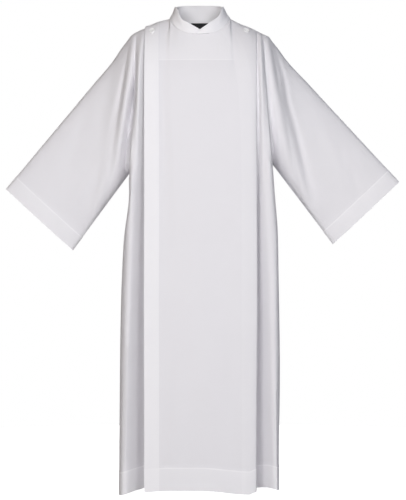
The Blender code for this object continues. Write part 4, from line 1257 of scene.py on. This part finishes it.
def model_stitch():
    """One stitch along X, one unit long and wide each way from its middle."""
    bpy.ops.object.select_all(action="DESELECT")
    bpy.ops.mesh.primitive_uv_sphere_add(segments=STITCH_SIDES, ring_count=STITCH_RINGS, radius=1.0)
    bpy.ops.object.mode_set(mode="EDIT")
    bpy.ops.mesh.select_all(action="SELECT")
    quarter = math.pi / 2
    bpy.ops.transform.rotate(value=quarter, orient_axis="Y", center_override=(0.0, 0.0, 0.0))
    bpy.ops.object.mode_set(mode="OBJECT")
    model = bpy.context.object
    points = np.array([tuple(vertex.co) for vertex in model.data.vertices])
    # They are sorted because Blender lists a sphere's faces in another order each time it runs.
    faces = sorted(tuple(face.vertices) for face in model.data.polygons)
    bpy.data.objects.remove(model)
    return points, faces


def sew(name, lines, material, pitch=STITCH_PITCH, length=STITCH_LENGTH, radius=STITCH_RADIUS, turned=False):
    """Copies the stitch along each line, or turned across it."""
    model, corners = STITCH
    points, faces = [], []
    for places, outs in lines:
        steps = np.linalg.norm(np.diff(places, axis=0), axis=1)
        way = np.concatenate([[0.0], np.cumsum(steps)])
        count = max(1, int(way[-1] / pitch))
        spots = (np.arange(count) + 0.5) * way[-1] / count
        before, after = [follow(way, places, spots + shift) for shift in (-length / 2, length / 2)]
        along = unit(after - before)
        aside = unit(np.cross(follow(way, outs, spots), along))
        out = unit(np.cross(along, aside))
        middle = (before + after) / 2 + out * radius / 2
        if turned:
            along, aside = aside, along
        for spot, x, y, z in zip(middle, along * length / 2, aside * radius, out * radius):
            first = len(points)
            points.extend((spot + model @ np.array([x, y, z])).tolist())
            faces.extend([[first + corner for corner in face] for face in corners])
    piece = add_mesh(name, points, faces, material)
    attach(piece, "root")
    return piece


def follow(way, values, spots):
    """The values at spots along the way, on straight lines between the given ones."""
    return np.stack([np.interp(spots, way, values[:, axis]) for axis in range(3)], axis=-1)


# ---- materials ------------------------------------------------------------------------------
class Nodes:
    """Adds nodes to a node tree and links them."""

    def __init__(self, tree):
        self.nodes, self.links = tree.nodes, tree.links

    def node(self, kind, inputs=(), **settings):
        made = self.nodes.new(kind)
        for name, value in settings.items():
            setattr(made, name, value)
        self.put(made, inputs)
        return made

    def put(self, node, inputs):
        """Sets a node's inputs to their values, or links those whose value is an output."""
        for key, value in dict(inputs).items():
            if isinstance(value, bpy.types.NodeSocket):
                self.links.new(value, node.inputs[key])
            else:
                node.inputs[key].default_value = value

    def maths(self, operation, *values):
        return self.node("ShaderNodeMath", enumerate(values), operation=operation).outputs[0]

    def noise(self, place, scale, detail):
        sizes = {"Vector": place, "Scale": scale, "Detail": detail}
        return self.node("ShaderNodeTexNoise", sizes).outputs["Fac"]

    def tint(self, share, start, end):
        """The colour at that share of the way from start to end."""
        inputs = dict(zip(TINT_INPUTS, (share, start, end)))
        return self.node("ShaderNodeMix", inputs, data_type="RGBA", clamp_factor=True).outputs[TINT]

    def step(self, value, low, high, start=0.0, end=1.0):
        """From start to end as the value goes from low to high."""
        sizes = {"Value": value, "From Min": low, "From Max": high, "To Min": start, "To Max": end}
        made = self.node("ShaderNodeMapRange", sizes, interpolation_type="SMOOTHSTEP")
        return made.outputs["Result"]

    def past(self, value, edge, start=0.0, end=1.0, blur=EDGE_BLUR):
        """From start to end where the value passes an edge."""
        return self.step(value, edge - blur, edge + blur, start, end)

    def line(self, value, middle, half_width):
        """A whiter line along the middle value, this wide each way before it fades: a third layer of cloth,
        with a painted highlight on top.
        """
        off = self.maths("ABSOLUTE", self.maths("SUBTRACT", value, middle))
        return self.step(off, half_width, LINE_END, LINE_LAYERS_AND_HIGHLIGHT, 0.0)


class Shading(Nodes):
    """Builds one material's nodes."""

    def __init__(self, name, roughness, colour):
        self.material = bpy.data.materials.new(name)
        self.material.use_nodes = True
        super().__init__(self.material.node_tree)
        self.shader = self.nodes["Principled BSDF"]
        self.shade({"Roughness": roughness, "Base Color": colour})

    def shade(self, inputs):
        self.put(self.shader, inputs)

    def emboss(self, height, strength, distance):
        """Bump from a height."""
        sizes = {"Strength": strength, "Distance": distance, "Height": height}
        self.shade({"Normal": self.node("ShaderNodeBump", sizes).outputs["Normal"]})


def cloth_material(name, hem=None, strips=(), chest=False):
    """White poly-cotton: plain weave with slubs, whiter where the cloth is doubled, and whiter along its
    pressed lines, where the whiteness is partly a painted highlight.
    hem is the hem's depth, and strips are (from, to, strength) across the cloth. Cloth with
    neither a hem nor strips is doubled all over."""
    work = Shading(name, roughness=0.82, colour=CLOTH_COLOUR)
    uv = work.node("ShaderNodeUVMap", uv_map="cloth").outputs["UV"]
    split = work.node("ShaderNodeSeparateXYZ", {"Vector": uv})
    across, up = split.outputs["X"], split.outputs["Y"]
    layers = []
    if hem:
        layers.append(work.past(up, hem, HEM_WHITE, 0.0))
        # The line at the hem's stitching: a third layer of cloth, with a painted highlight.
        layers.append(work.line(up, hem - STITCH_INSET, HEM_LINE))
    for start, end, strength in strips:
        inside = work.past(across, start)
        outside = work.past(across, end, strength, 0.0)
        layers.append(work.maths("MULTIPLY", inside, outside))
    if chest:
        layers.extend(chest_facing(work))
    whiter = layers[0] if layers else 1.0
    for layer in layers[1:]:
        whiter = work.maths("ADD", whiter, layer)
    cloudy = work.maths("SUBTRACT", work.noise(uv, CLOUDS, detail=3.0), 0.5)
    share = work.maths("ADD", whiter, work.maths("MULTIPLY", cloudy, CLOUDING))
    work.shade({"Base Color": work.tint(share, CLOTH_COLOUR, DOUBLED_COLOUR)})
    slubs = work.maths("MULTIPLY", slub_height(work, uv), SLUB_SHARE)
    height = work.maths("ADD", weave_height(work, across, up), slubs)
    work.emboss(height, strength=0.6, distance=THREAD_RISE)
    work.shade({"Sheen Weight": 0.06, "Sheen Roughness": 0.5, "Specular IOR Level": 0.25})
    return work.material


def chest_facing(work):
    """The facing behind the chest shows as a whiter field, with a whiter line at its lower edge that is
    partly a painted highlight.
    """
    place = work.node("ShaderNodeTexCoord").outputs["Object"]
    spots = work.node("ShaderNodeSeparateXYZ", {"Vector": place})
    x, height = spots.outputs["X"], spots.outputs["Z"]
    left = work.past(x, CHEST_FACING[0])
    right = work.past(x, CHEST_FACING[1], CHEST_WHITE, 0.0, CHEST_BLUR)
    field = work.maths("MULTIPLY", left, right)
    above = work.past(height, CHEST_LINE)
    # The line at the facing's lower edge: a third layer of cloth, with a painted highlight.
    line = work.line(height, CHEST_LINE + STITCH_INSET, CHEST_SEAM)
    return work.maths("MULTIPLY", above, field), work.maths("MULTIPLY", line, field)


def weave_height(work, across, up):
    """Plain weave: warp and weft threads that rise over each other in turn."""
    waves = []
    for way in (across, up):
        waves.append(work.maths("SINE", work.maths("MULTIPLY", way, 2 * math.pi / THREAD_PITCH)))
    return work.maths("MULTIPLY", waves[0], waves[1])


def slub_height(work, uv):
    """Thicker places in single threads, long in the thread's own direction."""
    found = []
    for stretch in SLUBS:
        turned = work.node("ShaderNodeMapping", {"Vector": uv, "Scale": stretch}).outputs["Vector"]
        found.append(work.noise(turned, scale=1.0, detail=1.0))
    return work.maths("ADD", *found)


def plain_material(name, colour, roughness, grain, rise, sheen):
    """One colour with a fine grain in its surface."""
    work = Shading(name, roughness, colour)
    place = work.node("ShaderNodeTexCoord").outputs["Object"]
    work.emboss(work.noise(place, grain, detail=2.0), strength=0.5, distance=rise)
    work.shade({"Sheen Weight": sheen})
    return work.material


# ---- the sewn pieces ------------------------------------------------------------------------
def make_label():
    """The label's face: it hangs from the collar's seam, just inside the back."""
    rows = []
    for i in range(LABEL_STEPS + 1):
        row = []
        for j in range(LABEL_STEPS + 1):
            x = LABEL_WIDTH * (j / LABEL_STEPS - 0.5)
            top = neck_at(x, 1)
            chest = Vector((x, read(BODY_ROWS, 3, CHEST_LEVEL), CHEST_LEVEL))
            row.append(over_top(top, chest, top.z - mix(LABEL_HEIGHT, LABEL_DROP, i / LABEL_STEPS)))
        rows.append(row)
    return rows


def button_frame(side):
    """Where a button's underside lies, and the ways across it, up it and out of it."""
    x, height = BUTTON_PLACES[side]
    point = panel_place(x, height)
    right = panel_place(x + BUTTON_RADIUS, height) - panel_place(x - BUTTON_RADIUS, height)
    up = panel_place(x, height + BUTTON_RADIUS / 2) - panel_place(x, height - BUTTON_RADIUS / 2)
    out = right.cross(up).normalized()
    turn = out.to_track_quat("Z", "Y")
    return point + out * BUTTON_GAP, turn @ Vector((1, 0, 0)), turn @ Vector((0, 1, 0)), out


def only(piece):
    """Selects a piece alone and makes it active."""
    bpy.ops.object.select_all(action="DESELECT")
    piece.select_set(True)
    bpy.context.view_layer.objects.active = piece


def press_top(piece, level, inset, depth):
    """Insets the flat face whose height is level, and sinks or lifts what is inside."""
    for face in piece.data.polygons:
        flat = face.normal.z > UPRIGHT and abs(face.center.z - level) < SAME_HEIGHT
        face.select = flat and len(face.vertices) == BUTTON_SIDES
    only(piece)
    bpy.ops.object.mode_set(mode="EDIT")
    bpy.ops.mesh.select_mode(type="FACE")
    bpy.ops.mesh.inset(thickness=inset, depth=depth)
    bpy.ops.object.mode_set(mode="OBJECT")


def add_rod(radius, depth, place, sides):
    bpy.ops.mesh.primitive_cylinder_add(vertices=sides, radius=radius, depth=depth, location=place)
    return bpy.context.object


def model_button():
    """A four-hole button that lies flat at the origin: a rim round a shallow dish."""
    bpy.ops.object.select_all(action="DESELECT")
    button = add_rod(BUTTON_RADIUS, BUTTON_DEPTH, (0.0, 0.0, BUTTON_DEPTH / 2), BUTTON_SIDES)
    bpy.ops.object.transform_apply(location=True)
    press_top(button, BUTTON_DEPTH, RIM_WIDTH, 0.0)
    press_top(button, BUTTON_DEPTH, DISH_SLOPE, -DISH_DEPTH)
    drills = []
    for k in range(4):
        angle = math.pi / 4 + math.pi / 2 * k
        x, y = math.cos(angle) * BUTTON_HOLE_REACH, math.sin(angle) * BUTTON_HOLE_REACH
        drills.append(add_rod(BUTTON_HOLE, BUTTON_DEPTH * 3, (x, y, BUTTON_DEPTH / 2), HOLE_SIDES))
    only(drills[0])
    for drill in drills:
        drill.select_set(True)
    bpy.ops.object.join()
    drill = bpy.context.object
    cut = button.modifiers.new("holes", "BOOLEAN")
    cut.operation, cut.solver, cut.object = "DIFFERENCE", "EXACT", drill
    soft = button.modifiers.new("soft_edges", "BEVEL")
    soft.width, soft.segments = BUTTON_SOFT, SOFT_SEGMENTS
    soft.limit_method, soft.angle_limit = "ANGLE", SOFT_FROM
    only(button)
    bpy.ops.object.modifier_apply(modifier="holes")
    bpy.ops.object.modifier_apply(modifier="soft_edges")
    bpy.ops.object.shade_smooth_by_angle(angle=SHARP_ANGLE)
    bpy.data.objects.remove(drill)
    button.data.materials.clear()
    button.data.materials.append(plastic)
    return button


def place_button(model, side):
    """A copy of the button in its place on the shoulder."""
    only(model)
    bpy.ops.object.duplicate()
    button = bpy.context.object
    button.name = f"{side_name(side)}_button"
    middle, _, _, out = button_frame(side)
    button.rotation_mode = "QUATERNION"
    button.rotation_quaternion = out.to_track_quat("Z", "Y")
    button.location = middle
    bpy.ops.object.transform_apply(location=True, rotation=True, scale=True)
    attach(button, "root")
    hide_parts(f"button_{side_name(side)}")


def sew_button(side):
    """Thread that crosses over the button between its holes, twice each way."""
    middle, right, up, out = button_frame(side)
    face = middle + out * (BUTTON_DEPTH - DISH_DEPTH)
    reach = BUTTON_HOLE_REACH * CROSS_REACH
    lines = []
    for turn in (1, -1):
        way = (right + up * turn).normalized() * reach
        for shift in (-0.5, 0.5):
            aside = way.cross(out).normalized() * STITCH_RADIUS * CROSS_APART * shift
            lines.append(straight(face - way + aside, face + way + aside, out))
    return sew(f"{side_name(side)}_button_thread", lines, thread, 2 * reach, 2 * reach)


def wind_shank(side):
    """The threads between the cloth and the button."""
    middle, right, up, out = button_frame(side)
    length = BUTTON_GAP + BUTTON_DEPTH - DISH_DEPTH
    lines = []
    for a, b in ((1, 1), (1, -1), (-1, 1), (-1, -1)):
        foot = middle + (right * a + up * b).normalized() * BUTTON_HOLE_REACH
        lines.append(straight(foot - out * BUTTON_GAP, foot + out * (BUTTON_DEPTH - DISH_DEPTH), right))
    return sew(f"{side_name(side)}_shank", lines, thread, length, length, SHANK)


def sew_buttonhole():
    """The worked slit under the right button, with close stitches along both of its sides."""
    x, height = BUTTON_PLACES[RIGHT]
    out = button_frame(RIGHT)[3]
    shares = [step / HOLE_STEPS for step in range(HOLE_STEPS + 1)]
    levels = [mix(height - HOLE_BELOW, height + HOLE_ABOVE, share) for share in shares]
    lines = []
    for aside in (-HOLE_SIDE, HOLE_SIDE):
        places = [tuple(panel_place(x + aside, level) + out * HEM_RISE) for level in levels]
        lines.append((np.array(places), np.array([tuple(out)] * len(levels))))
    return sew("buttonhole", lines, thread, HOLE_PITCH, HOLE_STITCH, turned=True)


def dress(name, cloth, material, thickness=SHELL):
    """Puts a cloth piece in its solid's place, and hides the solid."""
    node, flat, area, rests_on = SHEETS[name]
    piece = make_shell(name, cloth, material, thickness)
    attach(piece, "root")
    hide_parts(node)


# ---- the room -------------------------------------------------------------------------------
def make_floor():
    """A wide pale floor just below the hem."""
    place = (0.0, 0.0, FLOOR_LEVEL)
    bpy.ops.mesh.primitive_circle_add(
        vertices=FLOOR_SIDES, radius=FLOOR_RADIUS, fill_type="NGON", location=place
    )
    floor = bpy.context.object
    floor.name = "studio_floor"
    work = Shading("pale_floor", roughness=0.9, colour=FLOOR_COLOUR)
    seen = work.node("ShaderNodeLightPath").outputs["Is Camera Ray"]
    work.shade({"Emission Color": WHITE, "Emission Strength": work.maths("MULTIPLY", seen, FLOOR_GLOW)})
    floor.data.materials.append(work.material)


def make_camera():
    data = bpy.data.cameras.new("camera")
    data.sensor_width = SENSOR
    data.lens = SENSOR * CAMERA_BACK / FIELD_HEIGHT
    data.clip_end = CAMERA_SIGHT
    camera = add_object("camera", data)
    camera.location = (CAMERA_X, -CAMERA_BACK, CAMERA_Z)
    camera.rotation_euler = (math.pi / 2, 0.0, 0.0)
    bpy.context.scene.camera = camera


def make_lights():
    for name, place, target, size, power in LAMPS:
        data = bpy.data.lights.new(name, "AREA")
        data.shape = "DISK"
        data.size, data.energy = size, power
        lamp = add_object(name, data)
        lamp.location = place
        aim = Vector(target) - Vector(place)
        lamp.rotation_mode = "QUATERNION"
        lamp.rotation_quaternion = aim.to_track_quat("-Z", "Y")


def make_room():
    """The room's soft light. What the camera itself sees of the room is white."""
    world = bpy.data.worlds.new("studio")
    world.use_nodes = True
    work = Nodes(world.node_tree)
    way = work.node("ShaderNodeTexCoord").outputs["Generated"]
    across = work.node("ShaderNodeSeparateXYZ", {"Vector": way}).outputs["X"]
    turn = {"Value": across, "From Min": -ROOM_TURN, "From Max": ROOM_TURN}
    tint = work.tint(work.node("ShaderNodeMapRange", turn).outputs["Result"], ROOM_LEFT, ROOM_RIGHT)
    aside = {"Value": work.maths("ABSOLUTE", across), "From Min": ROOM_SIDES_FROM}
    strengths = {"To Min": ROOM_LIGHT, "To Max": ROOM_LIGHT * ROOM_SIDES}
    dim = work.node("ShaderNodeMapRange", {**aside, **strengths})
    soft = work.nodes["Background"]
    work.put(soft, {"Color": tint, "Strength": dim.outputs["Result"]})
    white = work.node("ShaderNodeBackground", {"Color": WHITE, "Strength": 1.0})
    seen = work.node("ShaderNodeLightPath").outputs["Is Camera Ray"]
    chosen = work.node("ShaderNodeMixShader", {0: seen, 1: soft.outputs[0], 2: white.outputs[0]})
    work.put(work.nodes["World Output"], {"Surface": chosen.outputs[0]})
    bpy.context.scene.world = world
    bpy.context.scene.view_settings.view_transform = "Standard"


# ---- scene ----------------------------------------------------------------------------------
front_cloth = cloth_material(
    "front_panel_cloth",
    hem=HEM_DEPTH,
    strips=(
        (0.0, PANEL_FACING, FACING_WHITE),
        (PANEL_RIGHT + PANEL_REACH - FOLD_STRIP, FOLD_STRIP_END, FOLD_WHITE),
    ),
    chest=True,
)
body_cloth = cloth_material("body_cloth", hem=HEM_DEPTH)
cuff_cloth = cloth_material("sleeve_cloth", hem=CUFF_HEM_DEPTH)
collar_cloth = cloth_material("collar_cloth")
thread = plain_material("white_thread", THREAD_COLOUR, *THREAD)
black_thread = plain_material("black_thread", BLACK_THREAD_COLOUR, *THREAD)
satin = plain_material("black_tape", TAPE_COLOUR, *TAPE)
plastic = plain_material("button_plastic", BUTTON_COLOUR, *BUTTON)

STITCH = model_stitch()

over = Cloth(make_over_front())
over.crease(-1, PANEL_CREASES)
thicken(over, HEM_DEPTH, PANEL_FACING)
level_line = line_across(over, over.points[..., 2], CHEST_LINE + STITCH_INSET)
shown = (level_line[0][:, 0] > CHEST_FACING[0]) & (level_line[0][:, 0] < CHEST_FACING[1])
lines = [
    hem_line(over, HEM_DEPTH),
    line_up(over, over.along, PANEL_FACING - STITCH_INSET),
    line_up(over, over.along, EDGE_INSET),
    [values[shown] for values in level_line],
]
sewing = [sew("front_stitching", lines, thread)]
for side in (RIGHT, LEFT):
    sewing.extend((sew_button(side), wind_shank(side)))
sewing.append(sew_buttonhole())
dress("front_panel", over, front_cloth)

under = Cloth(make_under_front())
under.crease(-1, SIDE_FRONT_CREASES)
thicken(under, HEM_DEPTH)
sewing = [sew("under_front_stitching", [hem_line(under, HEM_DEPTH)], thread)]
dress("under_front", under, body_cloth)

back = Cloth(make_back(), facing=-1)
back.crease(1, BACK_CREASES)
thicken(back, HEM_DEPTH)
sewing = [sew("back_stitching", [hem_line(back, HEM_DEPTH)], thread)]
dress("back_panel", back, body_cloth)

for side in (RIGHT, LEFT):
    name = side_name(side)
    sleeve = Cloth(make_sleeve(side)[::-1], ring=True, facing=-side)
    sleeve.crease(-1, SLEEVE_FRONT_CREASES[side])
    sleeve.crease(1, SLEEVE_BACK_CREASES[side])
    thicken(sleeve, CUFF_HEM_DEPTH)
    sewing = [sew(f"{name}_cuff_stitching", [hem_line(sleeve, CUFF_HEM_DEPTH)], thread)]
    dress(f"{name}_sleeve", sleeve, cuff_cloth)

collar = Cloth(make_collar(), facing=-1, up=COLLAR_SPACING, across=COLLAR_SPACING)
sideways = 1 - ease((1 - np.abs(collar.out[..., 0])) / COLLAR_DRAW_FROM)
raised = ease(collar.up / COLLAR_DRAW_OVER)[:, : sideways.shape[1]]
collar.raise_by(-COLLAR_DRAW * sideways * raised)
collar.crease(-1, COLLAR_CREASES)
# The tuck comes last, with nothing measured after it, so that it leaves the weave as it was.
foot = collar.points[0]
behind = np.clip(foot[:, 1] / TUCK_FROM, 0.0, 1.0) * np.clip(1 - foot[:, 1] / TUCK_TO, 0.0, 1.0)
foot[:, 2] -= COLLAR_TUCK * behind * (foot[:, 0] < 0)
sewing = [sew("collar_stitching", lines_round(collar, EDGE_INSET), thread)]
dress("neck_collar", collar, collar_cloth, thickness=COLLAR_SHELL)

label = Cloth(make_label(), facing=-1, up=LABEL_SPACING, across=LABEL_SPACING)
label.raise_by(np.full(label.points.shape[:2], -LABEL_GAP))
sewing = [sew("label_stitching", lines_round(label, LABEL_INSET), black_thread)]
dress("blank_label", label, satin, LABEL_THICKNESS)

model = model_button()
for side in (RIGHT, LEFT):
    place_button(model, side)
bpy.data.objects.remove(model)

make_floor()
make_lights()
make_room()
make_camera()
